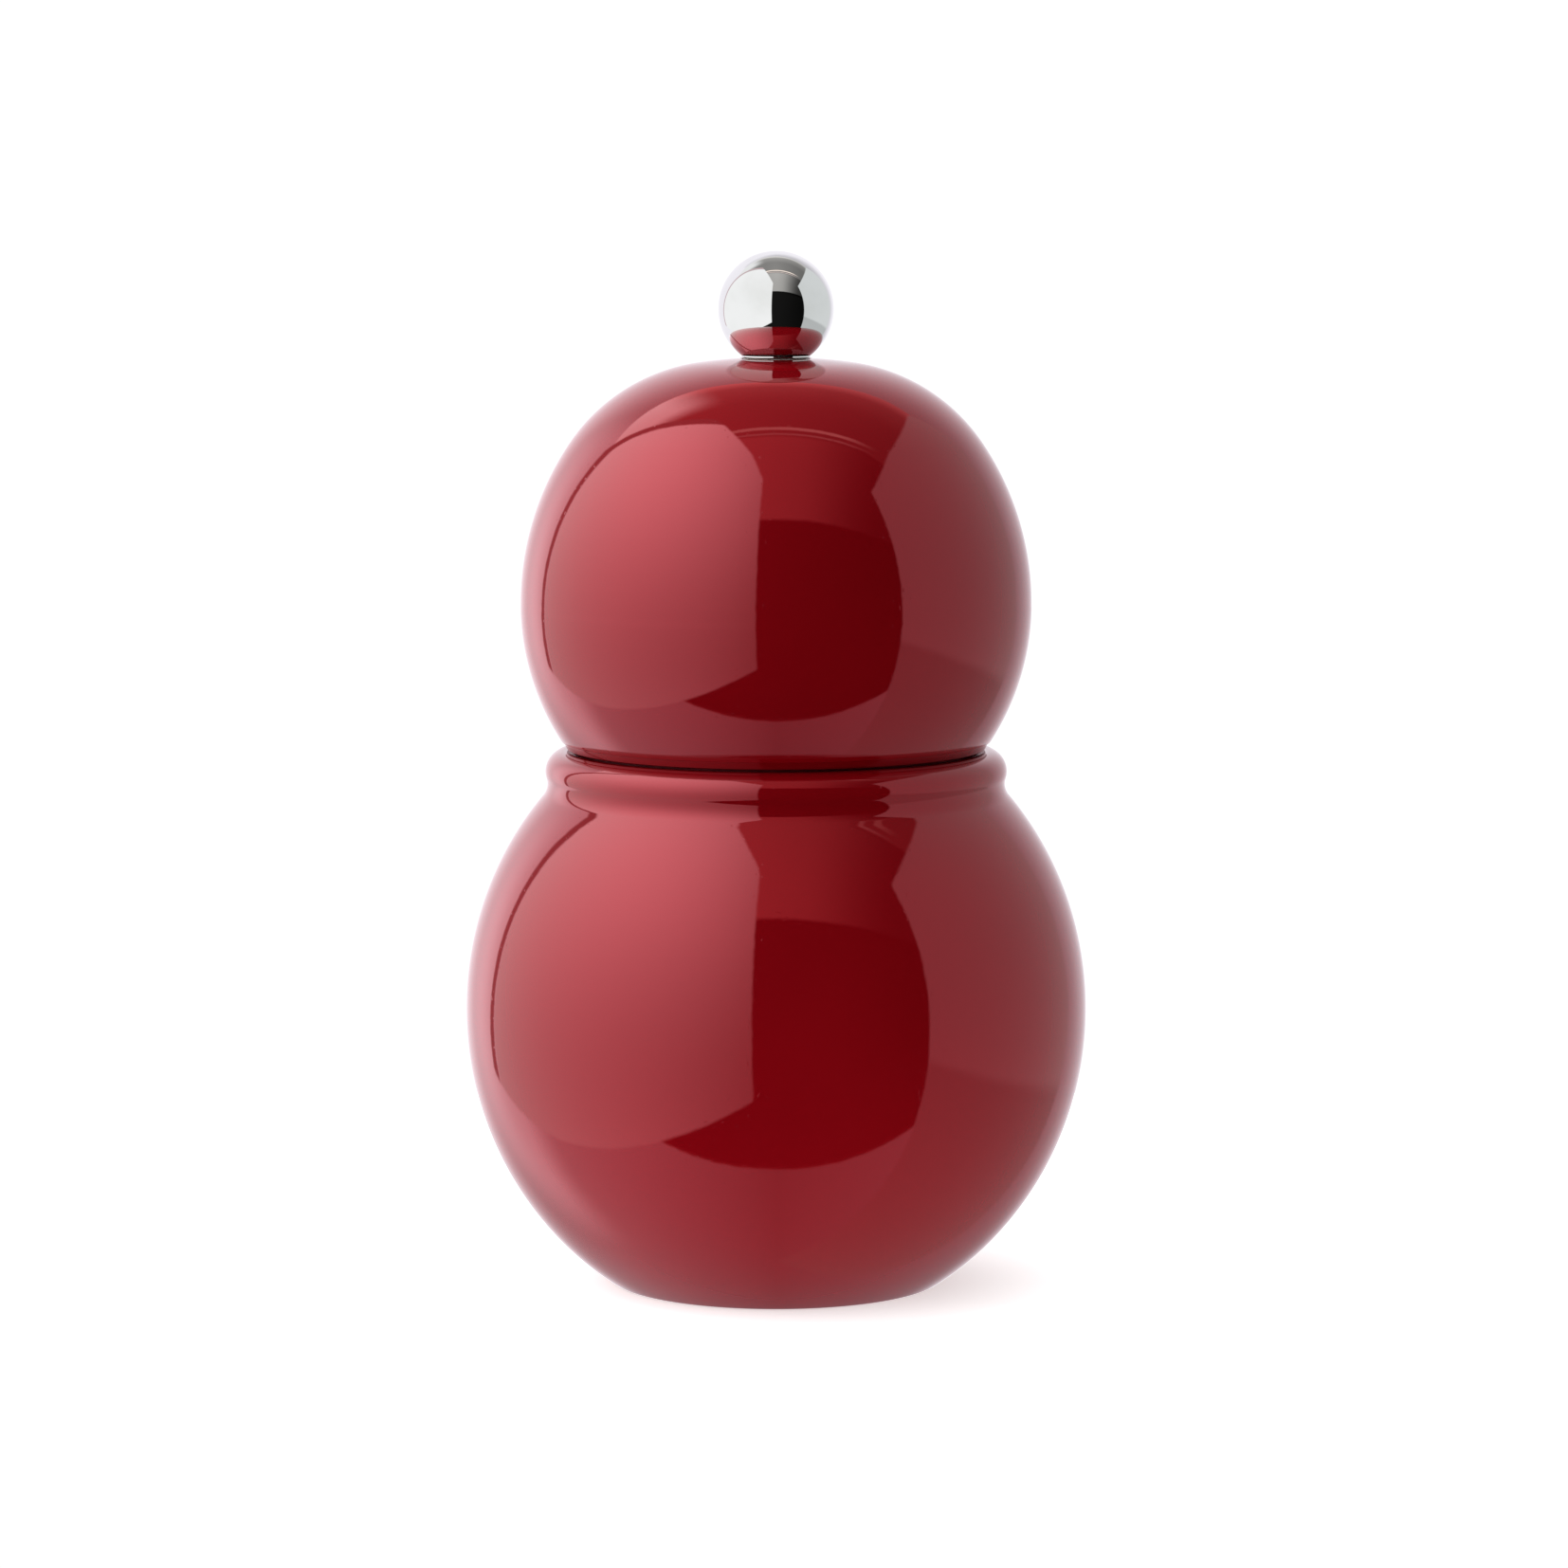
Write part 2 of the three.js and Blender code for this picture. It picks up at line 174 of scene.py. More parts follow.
def angle_at(height: float, centre: float, semi_height: float) -> float:
    """Return an ellipse's angle in degrees where its arc reaches a height."""
    return math.degrees(math.asin((height - centre) / semi_height))


# ------------------------------------------------------------------ node trees


class Value:
    """A number in a node tree that can be used in Python arithmetic."""

    def __init__(self, tree: "Tree", socket: bpy.types.NodeSocket) -> None:
        """Wrap one output socket of a tree."""
        self.tree = tree
        self.socket = socket

    def math(self, operation: str, *others: "Value | float", clamp: bool = False) -> "Value":
        """Add a Math node.

        Args:
            operation: The node's operation.
            *others: Its further operands.
            clamp: Whether the result stays between 0 and 1.

        Returns:
            The node's result.
        """
        settings = {"operation": operation, "use_clamp": clamp}
        inputs = dict(enumerate((self, *others)))
        return self.tree.value("ShaderNodeMath", settings, inputs)

    def __add__(self, other: "Value | float") -> "Value":
        """Return self + other."""
        return self.math("ADD", other)

    def __sub__(self, other: "Value | float") -> "Value":
        """Return self - other."""
        return self.math("SUBTRACT", other)

    def __rsub__(self, other: float) -> "Value":
        """Return other - self."""
        return self.tree.constant_first("SUBTRACT", other, self)

    def __mul__(self, other: "Value | float") -> "Value":
        """Return self * other."""
        return self.math("MULTIPLY", other)

    def __truediv__(self, other: "Value | float") -> "Value":
        """Return self / other."""
        return self.math("DIVIDE", other)

    def __rtruediv__(self, other: float) -> "Value":
        """Return other / self."""
        return self.tree.constant_first("DIVIDE", other, self)

    def __neg__(self) -> "Value":
        """Return -self."""
        return self.math("MULTIPLY", -1.0)

    __radd__ = __add__
    __rmul__ = __mul__

    def step(self, low: float, high: float) -> "Value":
        """Return 0 below low and 1 above high, with a smooth rise between."""
        settings = {"interpolation_type": "SMOOTHSTEP"}
        inputs = {"Value": self, "From Min": low, "From Max": high}
        return self.tree.value("ShaderNodeMapRange", settings, inputs, "Result")


class Tree:
    """A node tree under construction."""

    def __init__(self, nodes: bpy.types.NodeTree) -> None:
        """Start with an existing, empty tree."""
        self.nodes = nodes

    def node(
        self,
        kind: str,
        settings: dict[str, Any] | None = None,
        inputs: dict[str | int, Any] | None = None,
    ) -> bpy.types.Node:
        """Add one node.

        Args:
            kind: The node's type.
            settings: Its own settings, set before its sockets.
            inputs: Values, sockets or nodes for its input sockets, by name or place.

        Returns:
            The node.
        """
        made = self.nodes.nodes.new(kind)
        for name, setting in (settings or {}).items():
            if name == "stops":
                self.set_stops(made.color_ramp, setting)
            else:
                setattr(made, name, setting)
        for name, given in (inputs or {}).items():
            self.feed(made.inputs[name], given)
        return made

    def feed(self, target: bpy.types.NodeSocket, given: Any) -> None:
        """Link a socket or set its value.

        Args:
            target: The input socket.
            given: A Value, an output socket, a node, or a plain value.
        """
        if isinstance(given, Value):
            given = given.socket
        if isinstance(given, bpy.types.Node):
            given = next(socket for socket in given.outputs if socket.enabled)
        if isinstance(given, bpy.types.NodeSocket):
            self.nodes.links.new(given, target)
        else:
            target.default_value = given

    @staticmethod
    def set_stops(ramp: bpy.types.ColorRamp, stops: Sequence[tuple[float, Sequence[float]]]) -> None:
        """Give a colour ramp its stops.

        Args:
            ramp: The ramp.
            stops: Places from 0 to 1, with their colours.
        """
        while len(ramp.elements) > len(stops):
            ramp.elements.remove(ramp.elements[-1])
        while len(ramp.elements) < len(stops):
            ramp.elements.new(1.0)
        for element, (place, color) in zip(ramp.elements, stops):
            element.position = place
            element.color = (*color, 1.0)

    def value(
        self,
        kind: str,
        settings: dict[str, Any] | None = None,
        inputs: dict[str | int, Any] | None = None,
        output: str | int = 0,
    ) -> Value:
        """Add one node and return one of its outputs as a number.

        Args:
            kind: The node's type.
            settings: Its own settings.
            inputs: Values for its input sockets.
            output: The output socket's name or place.

        Returns:
            The output, ready for arithmetic.
        """
        return Value(self, self.node(kind, settings, inputs).outputs[output])

    def constant_first(self, operation: str, first: float, second: Value) -> Value:
        """Add a Math node whose first operand is a plain number."""
        return self.value("ShaderNodeMath", {"operation": operation}, {0: first, 1: second})

    def blend(self, share: Value, low: Any, high: Any) -> bpy.types.NodeSocket:
        """Return a colour that goes from low to high as share goes from 0 to 1."""
        settings = {"data_type": "RGBA", "blend_type": "MIX"}
        made = self.node("ShaderNodeMix", settings, {"Factor": share})
        self.feed(made.inputs[6], low)
        self.feed(made.inputs[7], high)
        return made.outputs[2]

    def vector(self, x: Any, y: Any, z: Any) -> bpy.types.Node:
        """Return a vector made of three numbers."""
        return self.node("ShaderNodeCombineXYZ", None, {0: x, 1: y, 2: z})

    def dot(self, direction: Any, normal: Sequence[float]) -> Value:
        """Return how far a direction points along a plane's normal, from -1 to 1."""
        inputs = {0: direction, 1: tuple(Vector(normal).normalized())}
        return self.value("ShaderNodeVectorMath", {"operation": "DOT_PRODUCT"}, inputs, "Value")

    def axes(self, vector: Any) -> tuple[Value, Value, Value]:
        """Return a vector's three components."""
        parts = self.node("ShaderNodeSeparateXYZ", inputs={0: vector})
        return tuple(Value(self, socket) for socket in parts.outputs)


# ------------------------------------------------------------------ finishes


Color = tuple[float, float, float]
WHITE = (1.0, 1.0, 1.0)
OVERSPRAY = 0.35


def rgba(color: Color) -> tuple[float, float, float, float]:
    """Return a colour with full opacity."""
    return (*color, 1.0)


class Finish:
    """A material made of nodes, built once and shared by the pieces that have it."""

    name: str

    def material(self) -> bpy.types.Material:
        """Return the material, building it the first time."""
        made = bpy.data.materials.get(self.name)
        if made is None:
            made = bpy.data.materials.new(self.name)
            made.use_nodes = True
            made.node_tree.nodes.clear()
            tree = Tree(made.node_tree)
            tree.node("ShaderNodeOutputMaterial", inputs={"Surface": self.shader(tree)})
        return made

    def shader(self, tree: Tree) -> bpy.types.Node:
        """Add this finish's nodes and return its shader."""
        raise NotImplementedError

    @staticmethod
    def place(tree: Tree) -> bpy.types.NodeSocket:
        """Return the point on the piece, in metres."""
        return tree.node("ShaderNodeTexCoord").outputs["Object"]

    @staticmethod
    def noise(tree: Tree, vector: Any, scale: float, detail: float = 2.0) -> Value:
        """Return smooth random values about 0.5, with scale features to the metre."""
        inputs = {"Vector": vector, "Scale": scale, "Detail": detail, "Roughness": 0.5}
        return tree.value("ShaderNodeTexNoise", None, inputs, "Fac")

    @staticmethod
    def bump(tree: Tree, height: Value, depth: float, strength: float = 1.0) -> bpy.types.Node:
        """Return a normal for a relief whose height goes from 0 to 1 over a depth in metres."""
        inputs = {"Strength": strength, "Distance": depth, "Height": height}
        return tree.node("ShaderNodeBump", None, inputs)


@dataclass(frozen=True)
class Beech(Finish):
    """Bare turned beech: fine pores along the grain and pale rays."""

    name: str = "bare_beech"
    pale: Color = (0.56, 0.36, 0.20)
    dark: Color = (0.36, 0.20, 0.10)
    along_grain: float = 0.08
    bands_per_metre: float = 190.0
    pores_per_metre: float = 2600.0
    pore_depth: float = 0.00006

    def shader(self, tree: Tree) -> bpy.types.Node:
        """Add the wood's nodes and return its shader."""
        stretch = {"Vector": self.place(tree), "Scale": (1.0, 1.0, self.along_grain)}
        along = tree.node("ShaderNodeMapping", None, stretch)
        bands = self.noise(tree, along, self.bands_per_metre, 3.0)
        pores = self.noise(tree, along, self.pores_per_metre, 1.0)
        flecks = pores.step(0.60, 0.68)
        tone = bands.step(0.3, 0.7) * 0.7 + flecks * 0.3
        inputs = {
            "Base Color": tree.blend(tone, rgba(self.pale), rgba(self.dark)),
            "Roughness": 0.62 + flecks * 0.15,
            "Normal": self.bump(tree, pores, self.pore_depth, 0.5),
        }
        return tree.node("ShaderNodeBsdfPrincipled", None, inputs)


@dataclass(frozen=True)
class Lacquer(Finish):
    """Thick gloss lacquer over wood.

    The attribute "bare" is 0 on polished lacquer, OVERSPRAY on dull overspray and 1 on wood. The
    lower ball is a little wavier than the upper one, up to the heights in waves_end.
    """

    name: str = "red_lacquer"
    deep: Color = (0.145, 0.0008, 0.0030)
    warm: Color = (0.175, 0.0015, 0.0040)
    tint: Color = (1.0, 0.25, 0.29)
    index: float = 2.2
    clouds_per_metre: float = 22.0
    flow_per_metre: float = 95.0
    peel_per_metre: float = 900.0
    dust_per_metre: float = 2400.0
    relief_depth: float = 0.00010
    lower_waves: float = 3.0
    waves_per_metre: float = 48.0
    waves_end: Point = (0.052, 0.060)
    wood: Beech = field(default_factory=Beech)

    def shader(self, tree: Tree) -> bpy.types.Node:
        """Add the lacquer's nodes and return a mix of lacquer and wood."""
        place = self.place(tree)
        cloud = self.noise(tree, place, self.clouds_per_metre, 2.0)
        flow = self.noise(tree, place, self.flow_per_metre, 1.0)
        peel = self.noise(tree, place, self.peel_per_metre, 1.0)
        dust = self.noise(tree, place, self.dust_per_metre, 0.0).step(0.78, 0.86)
        height = tree.axes(place)[2]
        below = 1.0 - height.step(*self.waves_end)
        waves = self.noise(tree, place, self.waves_per_metre, 0.0) * below * self.lower_waves
        relief = flow * 0.86 + peel * 0.06 + dust * 0.08 + waves
        bare = Value(tree, tree.node("ShaderNodeAttribute", {"attribute_name": "bare"}).outputs["Fac"])
        inputs = {
            "Base Color": tree.blend(cloud.step(0.3, 0.7), rgba(self.deep), rgba(self.warm)),
            "Roughness": 0.018 + cloud * 0.02 + dust * 0.1 + bare.step(0.1, 0.3) * 0.55,
            "IOR": self.index,
            "Specular Tint": rgba(self.tint),
            "Normal": self.bump(tree, relief, self.relief_depth, 0.35),
        }
        gloss = tree.node("ShaderNodeBsdfPrincipled", None, inputs)
        cut = bare.step(0.45, 0.55)
        return tree.node("ShaderNodeMixShader", None, {0: cut, 1: gloss, 2: self.wood.shader(tree)})


@dataclass(frozen=True)
class Metal(Finish):
    """A metal with turning marks round the axis and a little mottling."""

    name: str
    light: Color
    dark: Color
    roughness: float
    marks: float = 0.3
    marks_per_metre: float = 5000.0
    mottle_per_metre: float = 420.0
    smears_per_metre: float = 130.0
    mark_depth: float = 0.00002

    def shader(self, tree: Tree) -> bpy.types.Node:
        """Add the metal's nodes and return its shader."""
        place = self.place(tree)
        x, y, z = tree.axes(place)
        radius = (x * x + y * y).math("SQRT")
        rings = tree.vector(radius, z, 0.0)
        turned = self.noise(tree, rings, self.marks_per_metre, 2.0)
        mottle = self.noise(tree, place, self.mottle_per_metre, 3.0)
        smear = self.noise(tree, place, self.smears_per_metre, 2.0)
        rough = self.roughness * (0.75 + smear * 0.5) + turned * (self.roughness * 0.3)
        inputs = {
            "Base Color": tree.blend(mottle.step(0.25, 0.75), rgba(self.dark), rgba(self.light)),
            "Metallic": 1.0,
            "Roughness": rough,
            "Normal": self.bump(tree, turned, self.mark_depth, self.marks),
        }
        return tree.node("ShaderNodeBsdfPrincipled", None, inputs)


@dataclass(frozen=True)
class Chrome(Finish):
    """Polished chrome plating, mirror-smooth but for the faintest haze and hairlines."""

    name: str = "polished_chrome"
    color: Color = (0.86, 0.87, 0.87)
    haze_color: Color = (0.78, 0.79, 0.78)
    haze_per_metre: float = 240.0
    hairs_per_metre: float = 3000.0
    hair_stretch: Color = (1.0, 0.15, 3.0)
    roughest: float = 0.003
    relief_depth: float = 0.00002

    def shader(self, tree: Tree) -> bpy.types.Node:
        """Add the chrome's nodes and return its shader."""
        place = self.place(tree)
        haze = self.noise(tree, place, self.haze_per_metre, 3.0)
        stretch = {"Vector": place, "Scale": self.hair_stretch}
        along = tree.node("ShaderNodeMapping", None, stretch)
        hair = self.noise(tree, along, self.hairs_per_metre, 1.0)
        inputs = {
            "Base Color": tree.blend(haze.step(0.4, 0.8), rgba(self.color), rgba(self.haze_color)),
            "Metallic": 1.0,
            "Roughness": haze * self.roughest,
            "Normal": self.bump(tree, haze * 0.9 + hair * 0.1, self.relief_depth, 0.12),
        }
        return tree.node("ShaderNodeBsdfPrincipled", None, inputs)


@dataclass(frozen=True)
class Moulding(Finish):
    """Moulded nylon: satin, faintly cloudy, with a fine spark-eroded skin."""

    name: str
    light: Color
    dark: Color
    roughness: float = 0.42
    clouds_per_metre: float = 160.0
    skin_per_metre: float = 4200.0
    skin_depth: float = 0.00003

    def shader(self, tree: Tree) -> bpy.types.Node:
        """Add the plastic's nodes and return its shader."""
        place = self.place(tree)
        cloud = self.noise(tree, place, self.clouds_per_metre, 3.0)
        skin = self.noise(tree, place, self.skin_per_metre, 2.0)
        inputs = {
            "Base Color": tree.blend(cloud.step(0.25, 0.75), rgba(self.dark), rgba(self.light)),
            "Roughness": self.roughness + skin * 0.12,
            "Normal": self.bump(tree, skin, self.skin_depth, 0.4),
        }
        return tree.node("ShaderNodeBsdfPrincipled", None, inputs)


@dataclass(frozen=True)
class Paper(Finish):
    """The pale paper that the mill stands on, which is clear when it is seen from below."""

    name: str = "pale_paper"
    color: Color = (0.85, 0.85, 0.85)
    fibre_color: Color = (0.83, 0.83, 0.83)
    fibres_per_metre: float = 300.0
    glow: float = 0.58

    def shader(self, tree: Tree) -> bpy.types.Node:
        """Add the paper's nodes and return its shader."""
        fibre = self.noise(tree, self.place(tree), self.fibres_per_metre, 3.0)
        inputs = {
            "Base Color": tree.blend(fibre, rgba(self.color), rgba(self.fibre_color)),
            "Roughness": 0.9,
            "Emission Color": rgba(WHITE),
            "Emission Strength": self.glow,
        }
        top = tree.node("ShaderNodeBsdfPrincipled", None, inputs)
        from_below = tree.node("ShaderNodeNewGeometry").outputs["Backfacing"]
        clear = tree.node("ShaderNodeBsdfTransparent")
        return tree.node("ShaderNodeMixShader", None, {0: from_below, 1: top, 2: clear})


LACQUER = Lacquer()
CHROME = Chrome()
BRASS = Metal("turned_brass", (0.83, 0.62, 0.30), (0.66, 0.46, 0.20), 0.22)
STEEL = Metal("plated_steel", (0.72, 0.73, 0.74), (0.60, 0.61, 0.63), 0.26)
SPRING_STEEL = Metal("spring_steel", (0.62, 0.62, 0.63), (0.42, 0.42, 0.43), 0.3)
GRINDER_STEEL = Metal("grinder_steel", (0.27, 0.27, 0.28), (0.13, 0.13, 0.14), 0.42, 0.6, 2500.0)
NYLON = Moulding("pale_nylon", (0.80, 0.78, 0.72), (0.72, 0.70, 0.63))


class Slot(Enum):
    """Material slots by name, each with the finish that its pieces wear."""

    LACQUER = ("lacquer", LACQUER)
    CHROME = ("chrome", CHROME)
    BRASS = ("brass", BRASS)
    STEEL = ("steel", STEEL)
    SPRING = ("steel", SPRING_STEEL)
    GRINDER = ("grinder_steel", GRINDER_STEEL)
    NYLON = ("nylon", NYLON)

    def dress(self, piece: bpy.types.Object) -> None:
        """Give a piece this slot's finish as its only material."""
        piece.data.materials.clear()
        piece.data.materials.append(self.value[1].material())


# ------------------------------------------------------------------ geometry nodes


class Recipe:
    """A Geometry Nodes tree with named inputs that turns a starting mesh into a finished one."""

    def __init__(self, name: str, inputs: dict[str, tuple[str, Any]]) -> None:
        """Start the tree.

        Args:
            name: The tree's name.
            inputs: Each input's socket type and default value, by name.
        """
        self.group = bpy.data.node_groups.new(name, "GeometryNodeTree")
        interface = self.group.interface
        interface.new_socket("Geometry", in_out="INPUT", socket_type="NodeSocketGeometry")
        for title, (kind, default) in inputs.items():
            socket = interface.new_socket(title, in_out="INPUT", socket_type=kind)
            socket.default_value = default
        interface.new_socket("Material", in_out="INPUT", socket_type="NodeSocketMaterial")
        interface.new_socket("Geometry", in_out="OUTPUT", socket_type="NodeSocketGeometry")
        self.tree = Tree(self.group)
        self.given = self.tree.node("NodeGroupInput")

    def number(self, name: str) -> Value:
        """Return one of the tree's inputs as a number."""
        return Value(self.tree, self.given.outputs[name])

    def close(self, geometry: Any) -> None:
        """End the tree: real geometry in its material, smooth but for its sharp edges.

        Args:
            geometry: The last node's geometry.
        """
        tree = self.tree
        real = tree.node("GeometryNodeRealizeInstances", None, {"Geometry": geometry})
        smooth = tree.node("GeometryNodeSetShadeSmooth", {"domain": "FACE"}, {"Geometry": real})
        angle = tree.value("GeometryNodeInputMeshEdgeAngle", output="Unsigned Angle")
        sharp = angle.math("GREATER_THAN", math.radians(SHARP_DEGREES))
        inputs = {"Geometry": smooth, "Selection": sharp, "Shade Smooth": False}
        edged = tree.node("GeometryNodeSetShadeSmooth", {"domain": "EDGE"}, inputs)
        inputs = {"Geometry": edged, "Material": self.given.outputs["Material"]}
        tree.node("NodeGroupOutput", None, {0: tree.node("GeometryNodeSetMaterial", None, inputs)})

    def make(self, name: str, start: bpy.types.Mesh, slot: Slot, **values: Any) -> bpy.types.Object:
        """Run the tree on a mesh and keep its result as a plain piece.

        Args:
            name: The piece's name.
            start: The mesh that the tree starts from.
            slot: The finish of the piece.
            **values: The tree's inputs, with _ for spaces.

        Returns:
            The finished piece, with no modifier left.
        """
        piece = bpy.data.objects.new(name, start)
        bpy.context.scene.collection.objects.link(piece)
        modifier = piece.modifiers.new("recipe", "NODES")
        modifier.node_group = self.group
        values["Material"] = slot.value[1].material()
        for item in self.group.interface.items_tree:
            key = item.name.replace(" ", "_")
            if item.in_out == "INPUT" and key in values:
                modifier[item.identifier] = values[key]
        bpy.context.view_layer.update()
        evaluated = piece.evaluated_get(bpy.context.evaluated_depsgraph_get())
        result = bpy.data.meshes.new_from_object(evaluated)
        piece.modifiers.remove(modifier)
        piece.data = result
        result.name = name
        return piece


def attribute(tree: Tree, name: str) -> Value:
    """Return a number that the mesh carries under a name."""
    settings = {"data_type": "FLOAT"}
    return tree.value("GeometryNodeInputNamedAttribute", settings, {"Name": name}, "Attribute")


def ridge(phase: Value, rise: Value) -> Value:
    """Return a saw-like wave from 0 to 1.

    Args:
        phase: The wave's phase in whole turns.
        rise: The share of each turn that climbs.

    Returns:
        The wave.
    """
    part = phase.math("FRACT")
    return (part / rise).math("MINIMUM", (1.0 - part) / (1.0 - rise))


def towards_corners(angle: Value, sides: Value, most: Value) -> Value:
    """Return how far a circle's points move out to make it a polygon with rounded corners.

    Args:
        angle: The point's angle round the axis. A flat faces angle 0.
        sides: The number of flats.
        most: The largest move, as a multiple of the circle's radius; 1 leaves the circle round.

    Returns:
        The move as a multiple of the radius.
    """
    side = (2 * math.pi) / sides
    half = side * 0.5
    from_flat = (angle + half).math("FLOORED_MODULO", side) - half
    return (1.0 / from_flat.math("COSINE")).math("MINIMUM", most)


def turning_recipe() -> Recipe:
    """Return the tree that turns an outline round the Z axis.

    The outline is drawn as (radius, height). Its attribute "corner" is how far it may move out
    towards the corners of a polygon. Its attribute "cut" is the share of the ridges' depth that
    is cut there: one start makes a screw thread and many starts make the teeth of a cone.
    """
    recipe = Recipe("turning", {
        "Segments": ("NodeSocketInt", 96),
        "Sides": ("NodeSocketFloat", 4.0),
        "Starts": ("NodeSocketFloat", 1.0),
        "Ridges per metre": ("NodeSocketFloat", 0.0),
        "Depth": ("NodeSocketFloat", 0.0),
        "Rise": ("NodeSocketFloat", 0.5),
    })
    tree = recipe.tree
    path_radius = 0.04
    weld = 2e-7
    axis_radius = 1e-6
    outline = tree.node("GeometryNodeMeshToCurve", None, {0: recipe.given.outputs["Geometry"]})
    shift = {"Geometry": outline, "Translation": (-path_radius, 0.0, 0.0), "Scale": (1.0, -1.0, 1.0)}
    profile = tree.node("GeometryNodeTransform", None, shift)
    ring = {"Resolution": recipe.given.outputs["Segments"], "Radius": path_radius}
    path = tree.node("GeometryNodeCurvePrimitiveCircle", {"mode": "RADIUS"}, ring)
    skin = tree.node("GeometryNodeCurveToMesh", None, {"Curve": path, "Profile Curve": profile})
    turned_out = tree.node("GeometryNodeFlipFaces", None, {"Mesh": skin})
    closed = tree.node("GeometryNodeMergeByDistance", None, {"Geometry": turned_out, "Distance": weld})
    x, y, z = tree.axes(tree.node("GeometryNodeInputPosition"))
    angle = y.math("ARCTAN2", x)
    phase = angle / (2 * math.pi) * recipe.number("Starts") + z * recipe.number("Ridges per metre")
    cut = ridge(phase, recipe.number("Rise")) * recipe.number("Depth") * attribute(tree, "cut")
    radius = (x * x + y * y).math("SQRT").math("MAXIMUM", axis_radius)
    push = towards_corners(angle, recipe.number("Sides"), attribute(tree, "corner")) - 1.0 + cut / radius
    outward = tree.vector(x * push, y * push, 0.0)
    recipe.close(tree.node("GeometryNodeSetPosition", None, {"Geometry": closed, "Offset": outward}))
    return recipe


def coil_recipe() -> Recipe:
    """Return the tree that winds round wire into a compression spring with closed ends."""
    recipe = Recipe("coil", {
        "Turns": ("NodeSocketFloat", 4.0),
        "Radius": ("NodeSocketFloat", 0.004),
        "Wire": ("NodeSocketFloat", 0.0004),
        "Low": ("NodeSocketFloat", 0.0),
        "High": ("NodeSocketFloat", 0.01),
        "Closed share": ("NodeSocketFloat", 0.2),
    })
    tree = recipe.tree
    steps_along, steps_round = 200, 14
    straight = tree.node("GeometryNodeCurvePrimitiveLine", {"mode": "POINTS"}, {"End": (1.0, 0.0, 0.0)})
    points = tree.node("GeometryNodeResampleCurve", None, {"Curve": straight, "Count": steps_along})
    share = tree.axes(tree.node("GeometryNodeInputPosition"))[0]
    turns, wire, radius = (recipe.number(name) for name in ("Turns", "Wire", "Radius"))
    closed = recipe.number("Closed share")
    low = recipe.number("Low") + wire
    high = recipe.number("High") - wire
    flat = closed * turns * wire * 2.0
    at_ends = share.math("MINIMUM", closed) + (share - (1.0 - closed)).math("MAXIMUM", 0.0)
    between = ((share - closed) / (1.0 - closed * 2.0)).math("ADD", 0.0, clamp=True)
    height = low + at_ends * turns * wire * 2.0 + between * (high - low - flat * 2.0)
    angle = share * turns * (2 * math.pi)
    helix = tree.vector(angle.math("COSINE") * radius, angle.math("SINE") * radius, height)
    wound = tree.node("GeometryNodeSetPosition", None, {"Geometry": points, "Position": helix})
    circle = {"Resolution": steps_round, "Radius": wire}
    section = tree.node("GeometryNodeCurvePrimitiveCircle", {"mode": "RADIUS"}, circle)
    inputs = {"Curve": wound, "Profile Curve": section, "Fill Caps": True}
    recipe.close(tree.node("GeometryNodeCurveToMesh", None, inputs))
    return recipe


def ring_of(recipe: Recipe, instance: Any) -> bpy.types.Node:
    """Set copies of a shape at equal angles round the axis.

    Args:
        recipe: A tree with the inputs Count, Circle and First turn.
        instance: The shape, placed as if on the axis.

    Returns:
        The real copies.
    """
    tree = recipe.tree
    circle = {"Vertices": recipe.given.outputs["Count"], "Radius": recipe.number("Circle")}
    points = tree.node("GeometryNodeMeshCircle", None, circle)
    index = tree.value("GeometryNodeInputIndex")
    turn = index / recipe.number("Count") * (2 * math.pi)
    rotation = tree.vector(0.0, 0.0, turn)
    inputs = {"Points": points, "Instance": instance, "Rotation": rotation}
    copies = tree.node("GeometryNodeInstanceOnPoints", None, inputs)
    first = tree.vector(0.0, 0.0, recipe.number("First turn"))
    turned_copies = tree.node("GeometryNodeTransform", None, {"Geometry": copies, "Rotation": first})
    return tree.node("GeometryNodeRealizeInstances", None, {"Geometry": turned_copies})


RING_INPUTS = {
    "Count": ("NodeSocketInt", 3),
    "Circle": ("NodeSocketFloat", 0.01),
    "First turn": ("NodeSocketFloat", 0.0),
}


def screw_ring_recipe() -> Recipe:
    """Return the tree that cuts a cross recess in a screw and sets copies of it round the axis."""
    recipe = Recipe("screw_ring", {
        **RING_INPUTS,
        "Face": ("NodeSocketFloat", 0.0),
        "Slot length": ("NodeSocketFloat", 0.002),
        "Slot width": ("NodeSocketFloat", 0.0004),
        "Slot depth": ("NodeSocketFloat", 0.0006),
    })
    tree = recipe.tree
    length, width, depth = (recipe.number(f"Slot {name}") for name in ("length", "width", "depth"))
    at_face = tree.vector(0.0, 0.0, recipe.number("Face"))
    cut = recipe.given.outputs["Geometry"]
    for across, along in ((length, width), (width, length)):
        sides = tree.vector(across, along, depth * 2.0)
        box = tree.node("GeometryNodeMeshCube", None, {"Size": sides}).outputs["Mesh"]
        cutter = tree.node("GeometryNodeTransform", None, {"Geometry": box, "Translation": at_face})
        cut = combine(tree, "DIFFERENCE", cut, cutter)
    recipe.close(ring_of(recipe, cut))
    return recipe


